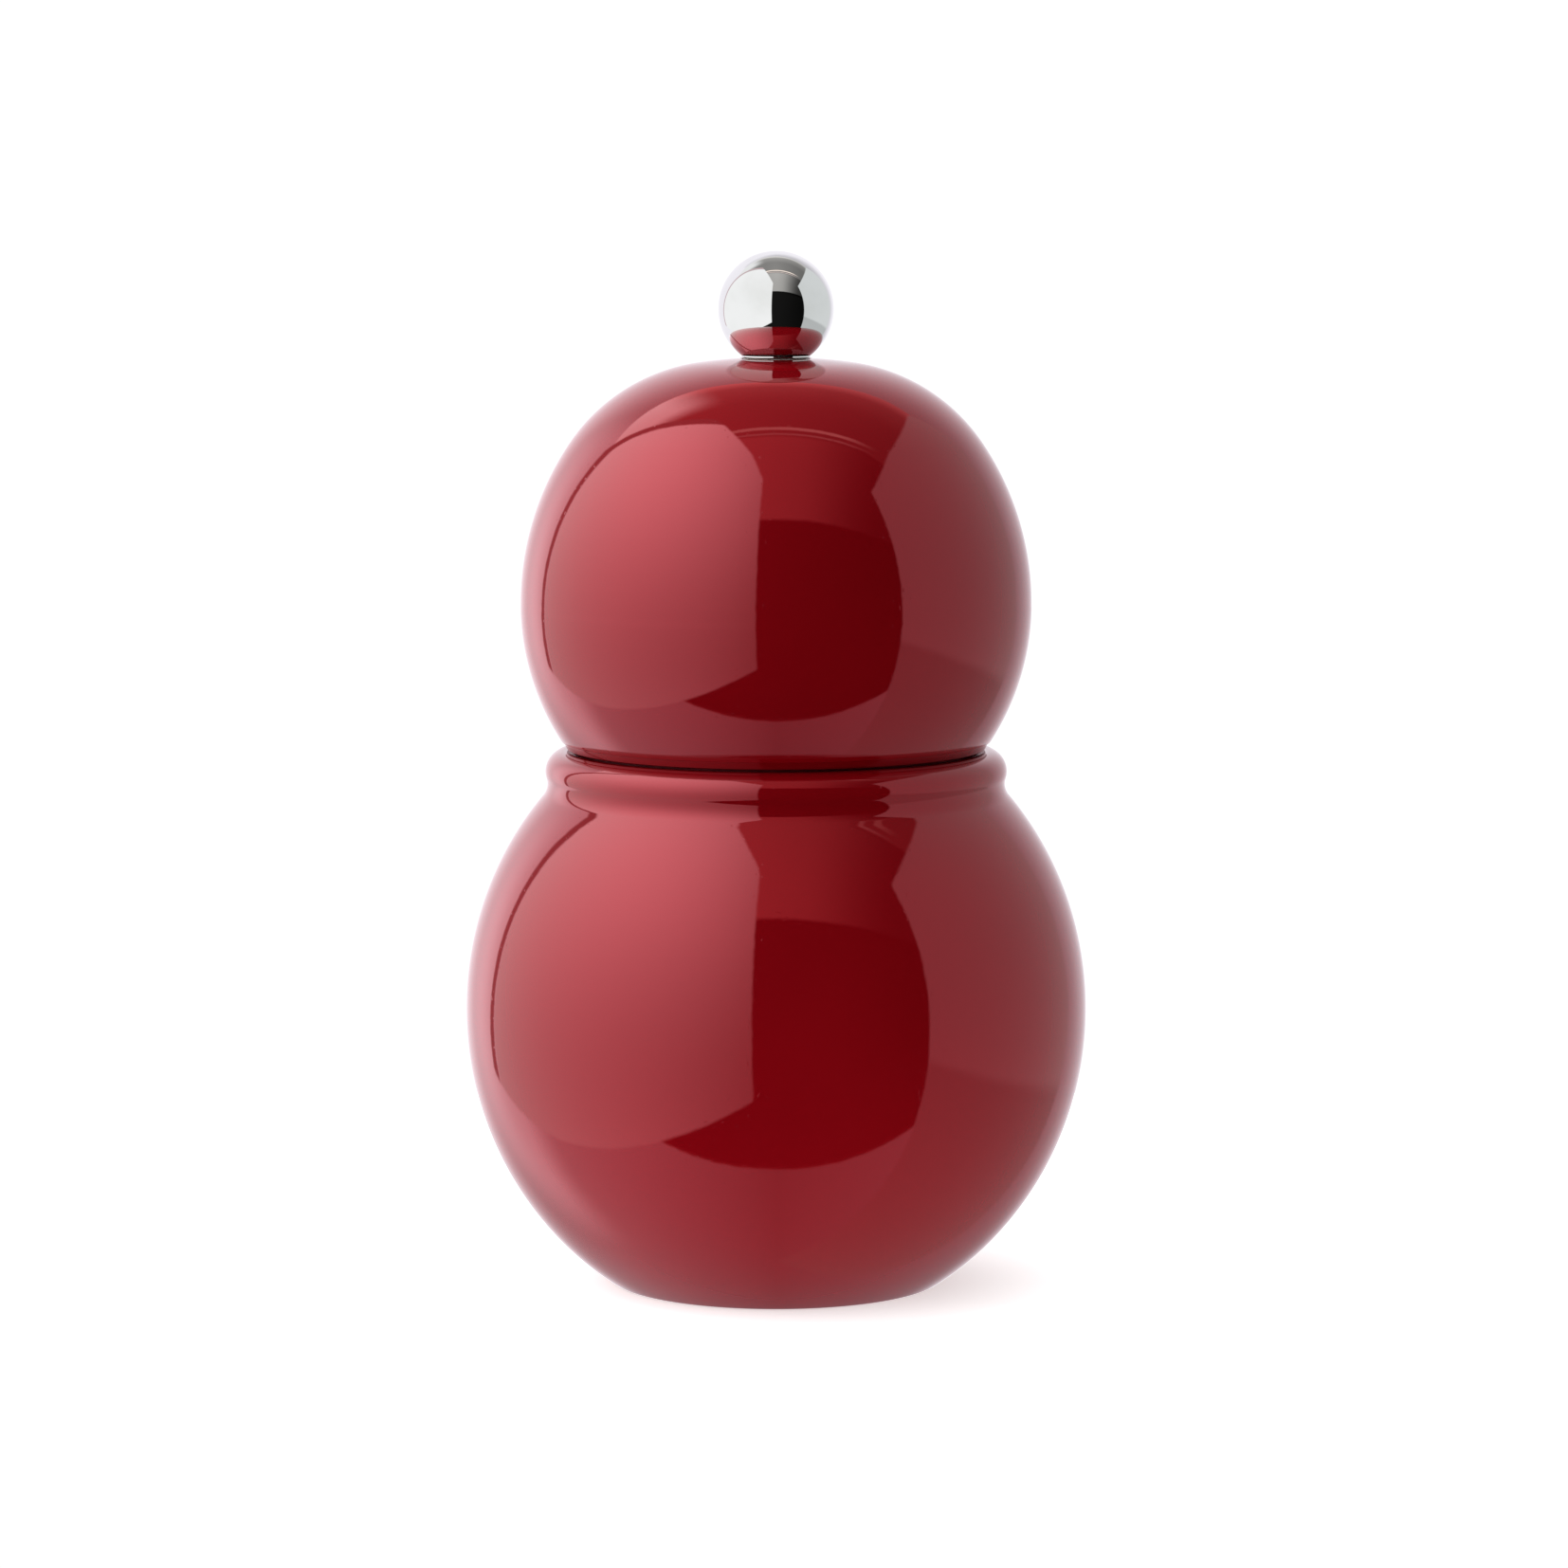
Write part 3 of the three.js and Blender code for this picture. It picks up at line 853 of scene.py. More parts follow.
def combine(tree: Tree, operation: str, first: Any, second: Any) -> bpy.types.NodeSocket:
    """Add a Mesh Boolean node for closed meshes.

    Args:
        tree: The tree.
        operation: UNION or DIFFERENCE.
        first: The mesh that is kept.
        second: The mesh that is added or taken away.

    Returns:
        The resulting mesh.
    """
    made = tree.node("GeometryNodeMeshBoolean", {"operation": operation, "solver": "MANIFOLD"})
    kept = made.inputs["Mesh 1"] if operation == "DIFFERENCE" else made.inputs["Mesh 2"]
    tree.feed(kept, first)
    tree.feed(made.inputs["Mesh 2"], second)
    return made.outputs["Mesh"]


def drilling_recipe() -> Recipe:
    """Return the tree that cuts a ring of round holes or square slots through a piece."""
    recipe = Recipe("drilling", {
        **RING_INPUTS,
        "Sides": ("NodeSocketInt", 32),
        "Hole radius": ("NodeSocketFloat", 0.001),
        "Low": ("NodeSocketFloat", 0.0),
        "High": ("NodeSocketFloat", 0.01),
    })
    tree = recipe.tree
    low, high = recipe.number("Low"), recipe.number("High")
    bar = {
        "Vertices": recipe.given.outputs["Sides"],
        "Radius": recipe.number("Hole radius"),
        "Depth": high - low,
    }
    cylinder = tree.node("GeometryNodeMeshCylinder", None, bar).outputs["Mesh"]
    middle = tree.vector(0.0, 0.0, (low + high) * 0.5)
    flat_out = tree.vector(0.0, 0.0, math.pi / recipe.number("Sides"))
    inputs = {"Geometry": cylinder, "Translation": middle, "Rotation": flat_out}
    cutter = ring_of(recipe, tree.node("GeometryNodeTransform", None, inputs))
    recipe.close(combine(tree, "DIFFERENCE", recipe.given.outputs["Geometry"], cutter))
    return recipe


def arms_recipe() -> Recipe:
    """Return the tree that adds arms with rounded edges round a hub."""
    recipe = Recipe("arms", {
        **RING_INPUTS,
        "Length": ("NodeSocketFloat", 0.006),
        "Width": ("NodeSocketFloat", 0.002),
        "Height": ("NodeSocketFloat", 0.002),
        "Low": ("NodeSocketFloat", 0.0),
        "Edge": ("NodeSocketFloat", 0.0003),
    })
    tree = recipe.tree
    half = recipe.number("Length") * 0.5
    middle = recipe.number("Low") + recipe.number("Height") * 0.5
    ends = [tree.vector(x, 0.0, middle) for x in (-half, half)]
    line_inputs = {"Start": ends[0], "End": ends[1]}
    spine = tree.node("GeometryNodeCurvePrimitiveLine", {"mode": "POINTS"}, line_inputs)
    size = {"Width": recipe.number("Width"), "Height": recipe.number("Height")}
    oblong = tree.node("GeometryNodeCurvePrimitiveQuadrilateral", {"mode": "RECTANGLE"}, size)
    rounding = {"Curve": oblong, "Count": 4, "Radius": recipe.number("Edge")}
    section = tree.node("GeometryNodeFilletCurve", {"mode": "POLY"}, rounding)
    inputs = {"Curve": spine, "Profile Curve": section, "Fill Caps": True}
    arm = tree.node("GeometryNodeCurveToMesh", None, inputs)
    arms = ring_of(recipe, arm)
    recipe.close(combine(tree, "UNION", recipe.given.outputs["Geometry"], arms))
    return recipe


TURNING = turning_recipe()
COIL = coil_recipe()
SCREW_RING = screw_ring_recipe()
DRILLING = drilling_recipe()
ARMS = arms_recipe()


def lowest(node: str) -> float:
    """Return a CAD node's lowest height in millimetres."""
    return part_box(node)[0].z / MM


def highest(node: str) -> float:
    """Return a CAD node's highest height in millimetres."""
    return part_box(node)[1].z / MM


@dataclass
class Outline:
    """An outline to be turned round the Z axis, as (radius, height above the piece's own foot)."""

    points: list[Point] = field(default_factory=list)
    carried: dict[str, list[float]] = field(default_factory=lambda: {"bare": [], "cut": [], "corner": []})

    def run(self, points: Sequence[Point], bare: float = 0, cut: float = 0, corner: float = 1) -> "Outline":
        """Add a stretch of outline.

        Args:
            points: The stretch's points.
            bare: 1 where it is bare wood.
            cut: The share of the ridges' depth that is cut into it.
            corner: How far it moves out towards a polygon's corners; 1 leaves it round.

        Returns:
            The outline itself, so that stretches can be chained.
        """
        self.points.extend(points)
        for name, value in (("bare", bare), ("cut", cut), ("corner", corner)):
            self.carried[name].extend([float(value)] * len(points))
        return self

    def mesh(self, name: str, foot: float) -> bpy.types.Mesh:
        """Return the outline as a chain of edges that carries its attributes.

        Args:
            name: The mesh's name.
            foot: The height that the outline's own heights start from.

        Returns:
            The mesh, with radii along X and heights along Y.
        """
        count = len(self.points)
        is_ring = self.points[0][0] > 0
        edges = [(i, (i + 1) % count) for i in range(count if is_ring else count - 1)]
        made = bpy.data.meshes.new(name)
        made.from_pydata([(r * MM, (foot + z) * MM, 0.0) for r, z in self.points], edges, [])
        for title, values in self.carried.items():
            made.attributes.new(title, "FLOAT", "POINT").data.foreach_set("value", values)
        return made

    def turn(
        self, name: str, slot: Slot, foot: float, segments: int = 96, **ridges: float
    ) -> bpy.types.Object:
        """Turn the outline into a piece.

        Args:
            name: The piece's name.
            slot: Its finish.
            foot: The height that the outline's own heights start from.
            segments: Facets round the axis.
            **ridges: Inputs of the turning tree that shape flats, a thread or teeth.

        Returns:
            The finished piece.
        """
        return TURNING.make(name, self.mesh(name, foot), slot, Segments=segments, **ridges)


# ------------------------------------------------------------------ fixings


@dataclass
class Thread:
    """A metric screw thread."""

    crest: float = 2.0
    pitch: float = 0.7
    depth: float = 0.43
    rows_per_turn: int = 10

    @property
    def root(self) -> float:
        """Return the radius at the bottom of the thread."""
        return self.crest - self.depth

    def rows(self, radius: float, low: float, high: float) -> list[Point]:
        """Return closely spaced points of a threaded stretch of outline, from low to high."""
        count = max(2, round(abs(high - low) / self.pitch * self.rows_per_turn))
        return line((radius, low), (radius, high), count)

    def ridges(self) -> dict[str, float]:
        """Return the inputs of the turning tree that cut this thread."""
        return {"Ridges_per_metre": 1.0 / (self.pitch * MM), "Depth": self.depth * MM, "Starts": -1.0}


@dataclass
class WoodScrew:
    """A small pan-head screw for wood, standing on its head."""

    head_radius: float = 1.8
    head_height: float = 1.1
    shank: float = 0.9
    length: float = 7.6
    point: float = 1.9
    point_radius: float = 0.08
    point_steps: int = 16
    dome_reach: float = 0.55
    dome_height: float = 0.75
    slot_length: float = 2.0
    slot_width: float = 0.42
    slot_depth: float = 0.62
    thread: Thread = field(
        default_factory=lambda: Thread(crest=0.9, pitch=1.0, depth=0.28, rows_per_turn=12)
    )

    def outline(self) -> Outline:
        """Return half of the screw's section."""
        head = self.head_height
        top = head + self.length
        centre = (self.dome_reach, self.dome_height)
        dome = arc(centre, (self.head_radius - self.dome_reach, self.dome_height), -90, 0, 10)
        rim, shank = (self.head_radius, head), self.shank - self.point_radius
        outline = Outline().run([(0.0, 0.0), *dome])
        outline.run(eased(dome[-1], rim, (self.thread.root, head), 0.12))
        outline.run(eased(rim, (shank, head), (shank, top), 0.15))
        outline.run([(self.shank - 0.1, head + 0.7)])
        outline.run(self.thread.rows(self.thread.root, head + 0.8, top - self.point), cut=1)
        for i in range(1, self.point_steps):
            share = i / self.point_steps
            radius = mix(self.thread.root, self.point_radius, share**1.4)
            outline.run([(radius, mix(top - self.point, top, share))], cut=1 - share)
        return outline.run([(0.0, top)])

    def ring(self, name: str, foot: float, circle: float, count: int) -> bpy.types.Object:
        """Make the screws of one plate as one mesh.

        Args:
            name: The piece's name.
            foot: The height of the heads' lowest point.
            circle: Radius of the circle that they stand on.
            count: How many there are.

        Returns:
            The screws.
        """
        blank = self.outline().turn(f"{name}_blank", Slot.STEEL, foot, 40, **self.thread.ridges())
        mesh = blank.data
        bpy.data.objects.remove(blank)
        sizes = {
            "Count": count,
            "Circle": circle * MM,
            "Face": foot * MM,
            "Slot_length": self.slot_length * MM,
            "Slot_width": self.slot_width * MM,
            "Slot_depth": self.slot_depth * MM,
        }
        return SCREW_RING.make(name, mesh, Slot.STEEL, **sizes)


# ------------------------------------------------------------------ sub-assemblies


@dataclass
class SubAssembly:
    """Pieces that move together on one body."""

    body: str
    screw_count: int = 3
    screw_hole: float = 1.2

    def dress(self, piece: bpy.types.Object, slot: Slot, *nodes: str) -> bpy.types.Object:
        """Give a piece its finish, and let it ride on the body in place of CAD nodes.

        Args:
            piece: The finished mesh.
            slot: Its slot, whose finish it wears.
            *nodes: The CAD nodes that it stands for.

        Returns:
            The piece.
        """
        slot.dress(piece)
        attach(piece, self.body)
        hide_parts(*nodes)
        faces = len(piece.data.polygons)
        log.info("%s: %s on %s, %d faces", piece.name, " ".join(nodes), self.body, faces)
        return piece

    def ring(self, name: str, slot: Slot, node: str, inner: float, outer: float, ease: float) -> None:
        """Build and dress a plain ring with softened edges, as tall as its CAD node.

        Args:
            name: The piece's name.
            slot: Its finish.
            node: The CAD node that it stands for.
            inner: Its inner radius.
            outer: Its outer radius.
            ease: How far each edge's rounding reaches.
        """
        section = softened(band(inner, outer, highest(node) - lowest(node)), ease)
        self.dress(Outline().run(section).turn(name, slot, lowest(node), 64), slot, node)

    def rework(
        self, blank: bpy.types.Object, recipe: Recipe, slot: Slot, node: str, **sizes: Any
    ) -> None:
        """Run a further tree on a piece and dress the result under the same name.

        Args:
            blank: The piece so far; it is used up.
            recipe: The tree.
            slot: The finish.
            node: The CAD node that the piece stands for.
            **sizes: The tree's inputs.
        """
        name, mesh = blank.name, blank.data
        bpy.data.objects.remove(blank)
        self.dress(recipe.make(name, mesh, slot, **sizes), slot, node)

    def fasten(self, plate: bpy.types.Object, node: str, kind: str, circle: float) -> None:
        """Drill a plate, dress it, and put its screws in.

        Args:
            plate: The plate without its holes; it is used up.
            node: The CAD node that it stands for.
            kind: The screws' CAD nodes, without their numbers.
            circle: Radius of the circle that the screws stand on.
        """
        sizes = {
            "Count": self.screw_count,
            "Circle": circle * MM,
            "Hole_radius": self.screw_hole * MM,
            "Low": (lowest(node) - 1.0) * MM,
            "High": (highest(node) + 1.0) * MM,
        }
        self.rework(plate, DRILLING, Slot.STEEL, node, **sizes)
        screws = [f"{kind}_{i + 1}" for i in range(self.screw_count)]
        piece = WoodScrew().ring(f"{kind}s", lowest(screws[0]), circle, self.screw_count)
        self.dress(piece, Slot.STEEL, *screws)


# ------------------------------------------------------------------ the wooden body and its grinder


@dataclass
class BodyBall(SubAssembly):
    """The large ball: lacquered outside, bored out for the peppercorns and the grinder."""

    body: str = "body"
    radius: float = 35.5
    semi_height: float = 37.1
    centre: float = 31.5
    bead_radius: float = 23.95
    bead_section: float = 2.4
    bead_height: float = 58.9
    neck_fillet: float = 2.3
    mouth: float = 22.3
    mouth_floor: float = 54.2
    rim_drop: float = 0.05
    bead_end: float = 98.0
    paint_depth: float = 3.0
    chamber: float = 17.5
    chamber_floor: float = 35.0
    throat: float = 10.6
    throat_height: float = 29.5
    seat: float = 11.8
    seat_top: float = 28.2
    recess: float = 16.2
    recess_height: float = 3.3
    base_ease: float = 0.9
    rim_ease: float = 0.45
    inside_ease: float = 0.35

    def fillet(self) -> tuple[float, Point]:
        """Find the hollow between the ball and the bead, tangent to both.

        Returns:
            The ball's angle where the hollow starts, and the hollow's centre.
        """
        low, high = 30.0, 60.0
        centre = (0.0, 0.0)
        reach = self.bead_section + self.neck_fillet
        while high - low > 1e-4:
            angle = math.radians((low + high) / 2)
            across, up = math.cos(angle), math.sin(angle)
            normal = Vector((across / self.radius, up / self.semi_height)).normalized()
            centre = (
                self.radius * across + self.neck_fillet * normal.x,
                self.centre + self.semi_height * up + self.neck_fillet * normal.y,
            )
            if math.dist(centre, (self.bead_radius, self.bead_height)) > reach:
                low = math.degrees(angle)
            else:
                high = math.degrees(angle)
        return low, centre

    def outside(self) -> list[Point]:
        """Return the lacquered outline, from the base's recess to the mouth's rim."""
        base_angle = angle_at(0.0, self.centre, self.semi_height)
        base_edge = (self.radius * math.cos(math.radians(base_angle)), 0.0)
        ball_end, hollow = self.fillet()
        ball = arc((0.0, self.centre), (self.radius, self.semi_height), base_angle, ball_end, 110)
        from_bead = (hollow[1] - self.bead_height, hollow[0] - self.bead_radius)
        bead_start = math.degrees(math.atan2(*from_bead))
        from_hollow = (ball[-1][1] - hollow[1], ball[-1][0] - hollow[0])
        hollow_start = math.degrees(math.atan2(*from_hollow)) % 360
        fillet = arc(hollow, (self.neck_fillet,) * 2, hollow_start, 180 + bead_start, 14)
        section = (self.bead_section,) * 2
        bead = arc((self.bead_radius, self.bead_height), section, bead_start, self.bead_end, 30)
        rim = (self.mouth, self.bead_height + self.bead_section - self.rim_drop)
        clear = [point for point in ball if math.dist(point, base_edge) > self.base_ease]
        return [
            *eased((self.recess, 0.0), base_edge, clear[0], self.base_ease, 8),
            *clear,
            *fillet[1:],
            *bead[1:],
            *eased(bead[-1], rim, (self.mouth, self.mouth_floor), self.rim_ease),
            (self.mouth, rim[1] - self.paint_depth),
        ]

    def inside(self) -> list[Point]:
        """Return the bare outline, from the mouth down to the recess under the base."""
        chain = [
            (self.mouth, self.bead_height),
            (self.mouth, self.mouth_floor),
            (self.chamber, self.mouth_floor),
            (self.chamber, self.chamber_floor),
            (self.throat, self.throat_height),
            (self.throat, self.seat_top),
            (self.seat, self.seat_top),
            (self.seat, self.recess_height),
            (self.recess, self.recess_height),
            (self.recess, 0.0),
            (self.recess + 1.0, 0.0),
        ]
        points = []
        for before, corner, after in zip(chain, chain[1:], chain[2:]):
            points.extend(eased(before, corner, after, self.inside_ease))
        return points

    def build(self) -> None:
        """Turn the ball."""
        painted = self.outside()
        outline = Outline().run(painted)
        outline.run([(self.mouth, painted[-1][1] - 0.1)], bare=1).run(self.inside(), bare=1)
        piece = outline.turn("lacquered_body", Slot.LACQUER, lowest("body_shell"), 256)
        self.dress(piece, Slot.LACQUER, "body_shell")


@dataclass
class Grinder(SubAssembly):
    """What is pressed and screwed into the body from below: housing, bridge, toothed ring, plate."""

    body: str = "body"
    housing: float = 11.5
    housing_bore: float = 10.2
    groove: float = 0.35
    groove_heights: tuple[float, ...] = (3.0, 12.3, 20.0)
    lip: float = 9.0
    lip_height: float = 10.0
    hub: float = 5.7
    hub_bore: float = 4.7
    arm_count: int = 3
    arm_width: float = 2.2
    arm_height: float = 2.6
    arm_edge: float = 0.3
    first_arm: float = 60.0
    gap: float = 0.3
    ring: float = 9.9
    ring_bore_low: float = 8.5
    ring_bore_high: float = 6.9
    ring_rim_low: float = 9.2
    ring_rim_high: float = 7.8
    tooth_count: int = 12
    tooth_depth: float = 0.5
    tooth_lean: float = 80.0
    plate: float = 15.9
    plate_bore: float = 8.8
    screw_circle: float = 14.0

    def build_housing(self) -> None:
        """Make the moulded housing, with grooves outside and slots for the bridge's arms."""
        low, high = lowest("grinder_housing"), highest("grinder_housing")
        height = high - low
        outer = [(self.housing, 0.0), (self.housing, height)]
        grooves = []
        for middle in self.groove_heights:
            for across, along in ((0, -0.8), (self.groove, -0.5), (self.groove, 0.5), (0, 0.8)):
                grooves.append((self.housing - across, middle + along))
        bore = [
            (self.housing_bore, height),
            (self.housing_bore, self.lip_height + 2.0),
            (self.lip, self.lip_height + 1.0),
            (self.lip, self.lip_height),
            (self.housing_bore, self.lip_height),
            (self.housing_bore, 0.0),
        ]
        corners = [outer[0], *grooves, outer[1], *bore]
        name = "grinder_housing_moulded"
        blank = Outline().run(softened(corners, 0.25)).turn(name, Slot.NYLON, low, 128)
        slot_side = self.arm_width + 2 * self.gap
        sizes = {
            "Count": self.arm_count,
            "Circle": (self.housing - 0.5) * MM,
            "First_turn": math.radians(self.first_arm),
            "Sides": 4,
            "Hole_radius": slot_side / math.sqrt(2) * MM,
            "Low": (high - self.arm_height - self.gap) * MM,
            "High": (high + 1.0) * MM,
        }
        self.rework(blank, DRILLING, Slot.NYLON, "grinder_housing", **sizes)

    def build_bridge(self) -> None:
        """Make the bridge that carries the shaft's bush."""
        low, high = lowest("bridge"), highest("bridge")
        section = softened(band(self.hub_bore, self.hub, high - low), 0.2)
        hub = Outline().run(section).turn("bridge_pressed", Slot.STEEL, low, 64)
        inner = self.hub - 0.6
        outer = self.housing - 0.1
        sizes = {
            "Count": self.arm_count,
            "Circle": (inner + outer) / 2 * MM,
            "First_turn": math.radians(self.first_arm),
            "Length": (outer - inner) * MM,
            "Width": self.arm_width * MM,
            "Height": self.arm_height * MM,
            "Low": (high - self.arm_height) * MM,
            "Edge": self.arm_edge * MM,
        }
        self.rework(hub, ARMS, Slot.STEEL, "bridge", **sizes)

    def build_toothed_ring(self) -> None:
        """Make the fixed ring with teeth down its bore."""
        low = lowest("stator")
        height = highest("stator") - low
        low_rim, high_rim = self.ring_rim_low, self.ring_rim_high
        corners = [(low_rim, 0.0), (self.ring, 0.0), (self.ring, height), (high_rim, height)]
        wall = open_ended(corners, 0.25)
        teeth = line((self.ring_bore_high, height), (self.ring_bore_low, 0.0), 40)
        outline = Outline().run([(low_rim + 0.1, 0.0), *wall, (high_rim - 0.1, height)])
        outline.run(teeth, cut=1)
        ridges = {
            "Starts": float(self.tooth_count),
            "Ridges_per_metre": self.tooth_lean,
            "Depth": self.tooth_depth * MM,
            "Rise": 0.85,
        }
        piece = outline.turn("toothed_ring", Slot.GRINDER, low, 144, **ridges)
        self.dress(piece, Slot.GRINDER, "stator")

    def build_plate(self) -> None:
        """Make the plate that holds the grinder in, and its screws."""
        low = lowest("retaining_plate")
        section = softened(band(self.plate_bore, self.plate, highest("retaining_plate") - low), 0.22)
        blank = Outline().run(section).turn("retaining_plate_pressed", Slot.STEEL, low, 128)
        self.fasten(blank, "retaining_plate", "retaining_screw", self.screw_circle)

    def build(self) -> None:
        """Build the fixed half of the grinder."""
        self.build_housing()
        self.build_bridge()
        self.build_toothed_ring()
        self.build_plate()


# ------------------------------------------------------------------ what turns in the body


@dataclass
class Carrier(SubAssembly):
    """The bush that the shaft slides in, with the spring that pushes the shaft down."""

    body: str = "carrier"
    bush: float = 4.4
    flange: float = 5.6
    flange_height: float = 1.0
    face: float = 3.9
    square_half: float = 2.55
    corner: float = 1.32
    spring: float = 4.2
    wire: float = 0.4
    turns: float = 5.0
    washer: float = 5.2

    def build_bush(self) -> None:
        """Make the flanged bush with its square bore."""
        low = lowest("shaft_bush")
        height = highest("shaft_bush") - low
        corners = [
            (self.face, 0.0),
            (self.flange, 0.0),
            (self.flange, self.flange_height),
            (self.bush, self.flange_height),
            (self.bush, height),
            (self.face, height),
        ]
        inner, half = self.face - 0.1, self.square_half
        outline = Outline().run([(inner, 0.0), *open_ended(corners, 0.2), (inner, height)])
        outline.run([(half + 0.1, height), (half, height - 0.2)], corner=self.corner)
        outline.run([(half, 0.2), (half + 0.1, 0.0)], corner=self.corner)
        self.dress(outline.turn("shaft_bush_moulded", Slot.NYLON, low, 96), Slot.NYLON, "shaft_bush")

    def build_spring(self) -> None:
        """Wind the spring."""
        low, high = lowest("spring"), highest("spring")
        sizes = {
            "Turns": self.turns,
            "Radius": self.spring * MM,
            "Wire": self.wire * MM,
            "Low": low * MM,
            "High": high * MM,
        }
        seed = bpy.data.meshes.new("coil")
        self.dress(COIL.make("coil_spring", seed, Slot.SPRING, **sizes), Slot.SPRING, "spring")

    def build(self) -> None:
        """Build the bush, the spring and its washer."""
        self.build_bush()
        self.build_spring()
        inner = self.spring - self.wire
        self.ring("spring_washer_turned", Slot.STEEL, "spring_washer", inner, self.washer, 0.12)


@dataclass
class ShaftSet(SubAssembly):
    """The square shaft with threaded ends, and the rotor that is held on its foot by a nut."""

    body: str = "shaft"
    half_side: float = 2.25
    corner: float = 1.3
    square_low: float = 13.8
    square_high: float = 98.7
    thread: Thread = field(default_factory=Thread)
    rotor_low: float = 7.75
    rotor_high: float = 5.2
    rotor_bore: float = 3.9
    rotor_face: float = 6.6
    tooth_count: int = 12
    tooth_depth: float = 0.6
    tooth_lean: float = 80.0
    sleeve: float = 3.6
    collar: float = 5.0
    collar_height: float = 8.7
    pocket_height: float = 9.6
    pocket_half: float = 2.55
    pocket_corner: float = 1.32
    core_bore: float = 2.3
    core_foot: float = 3.0
    core_face: float = 4.2
    washer: float = 6.0
    nut_half: float = 3.5
    nut_corner: float = 1.16
    nut_chamfer: float = 1.02

    def build_shaft(self) -> None:
        """Make the shaft."""
        low = lowest("shaft")
        top = highest("shaft") - low
        root, half = self.thread.root, self.half_side
        start, end = self.square_low, self.square_high
        outline = Outline().run([(0.0, 0.0), (root - 0.35, 0.0), (root - 0.05, 0.3)])
        outline.run(self.thread.rows(root, 0.4, start - 1.2), cut=1)
        outline.run([(root, start - 0.9), (root, start), (half, start)])
        outline.run(line((half, start + 0.5), (half, end - 0.5), 12), corner=self.corner)
        outline.run([(half, end), (root, end), (root, end + 0.6)])
        outline.run(self.thread.rows(root, end + 0.9, top - 0.5), cut=1)
        outline.run([(root - 0.05, top - 0.35), (root - 0.4, top), (0.0, top)])
        piece = outline.turn("square_shaft", Slot.STEEL, low, 72, **self.thread.ridges())
        self.dress(piece, Slot.STEEL, "shaft")

    def build_rotor(self) -> None:
        """Make the toothed cone."""
        low = lowest("rotor")
        height = highest("rotor") - low
        bore = self.rotor_bore
        teeth = line((self.rotor_low, 0.0), (self.rotor_high, height), 40)
        outline = Outline().run([(bore, 0.25), (bore + 0.25, 0.0), (self.rotor_face, 0.0)])
        outline.run(teeth, cut=1)
        outline.run([(bore + 0.3, height), (bore, height - 0.25)])
        ridges = {
            "Starts": float(self.tooth_count),
            "Ridges_per_metre": -self.tooth_lean,
            "Depth": -self.tooth_depth * MM,
            "Rise": 0.15,
        }
        self.dress(outline.turn("toothed_cone", Slot.GRINDER, low, 144, **ridges), Slot.GRINDER, "rotor")

    def build_core(self) -> None:
        """Make the moulded core that the square shaft turns."""
        low = lowest("rotor_core")
        height = highest("rotor_core") - low
        corners = [
            (self.core_foot, 0.0),
            (self.sleeve, 0.0),
            (self.sleeve, self.collar_height),
            (self.collar, self.collar_height),
            (self.collar, height),
            (self.core_face, height),
        ]
        bore, half, floor = self.core_bore, self.pocket_half, self.pocket_height
        outline = Outline().run([(bore, 0.0), (self.core_foot - 0.2, 0.0), *open_ended(corners, 0.2)])
        outline.run([(self.core_face - 0.3, height)])
        outline.run([(half, height), (half, floor)], corner=self.pocket_corner)
        outline.run([(bore, floor), (bore, 0.1)])
        self.dress(outline.turn("cone_core", Slot.NYLON, low, 96), Slot.NYLON, "rotor_core")

    def build_nut(self) -> None:
        """Make the hexagonal nut."""
        low = lowest("rotor_nut")
        height = highest("rotor_nut") - low
        flat = self.nut_half
        bore = self.thread.crest + 0.1
        outline = Outline().run([(bore, 0.0), (flat - 0.15, 0.0)])
        outline.run([(flat, 0.1)], corner=self.nut_chamfer)
        outline.run([(flat, 0.45), (flat, height - 0.45)], corner=self.nut_corner)
        outline.run([(flat, height - 0.1)], corner=self.nut_chamfer)
        outline.run([(flat - 0.15, height), (bore, height)])
        outline.run(self.thread.rows(bore, height - 0.1, 0.1), cut=0.4)
        ridges = {"Sides": 6.0, **self.thread.ridges()}
        self.dress(outline.turn("hexagon_nut", Slot.STEEL, low, 96, **ridges), Slot.STEEL, "rotor_nut")

    def build(self) -> None:
        """Build the shaft and everything fixed to it."""
        self.build_shaft()
        self.build_rotor()
        self.build_core()
        self.ring("cone_washer", Slot.STEEL, "rotor_washer", self.core_bore, self.washer, 0.12)
        self.build_nut()


# ------------------------------------------------------------------ the head and the ball nut


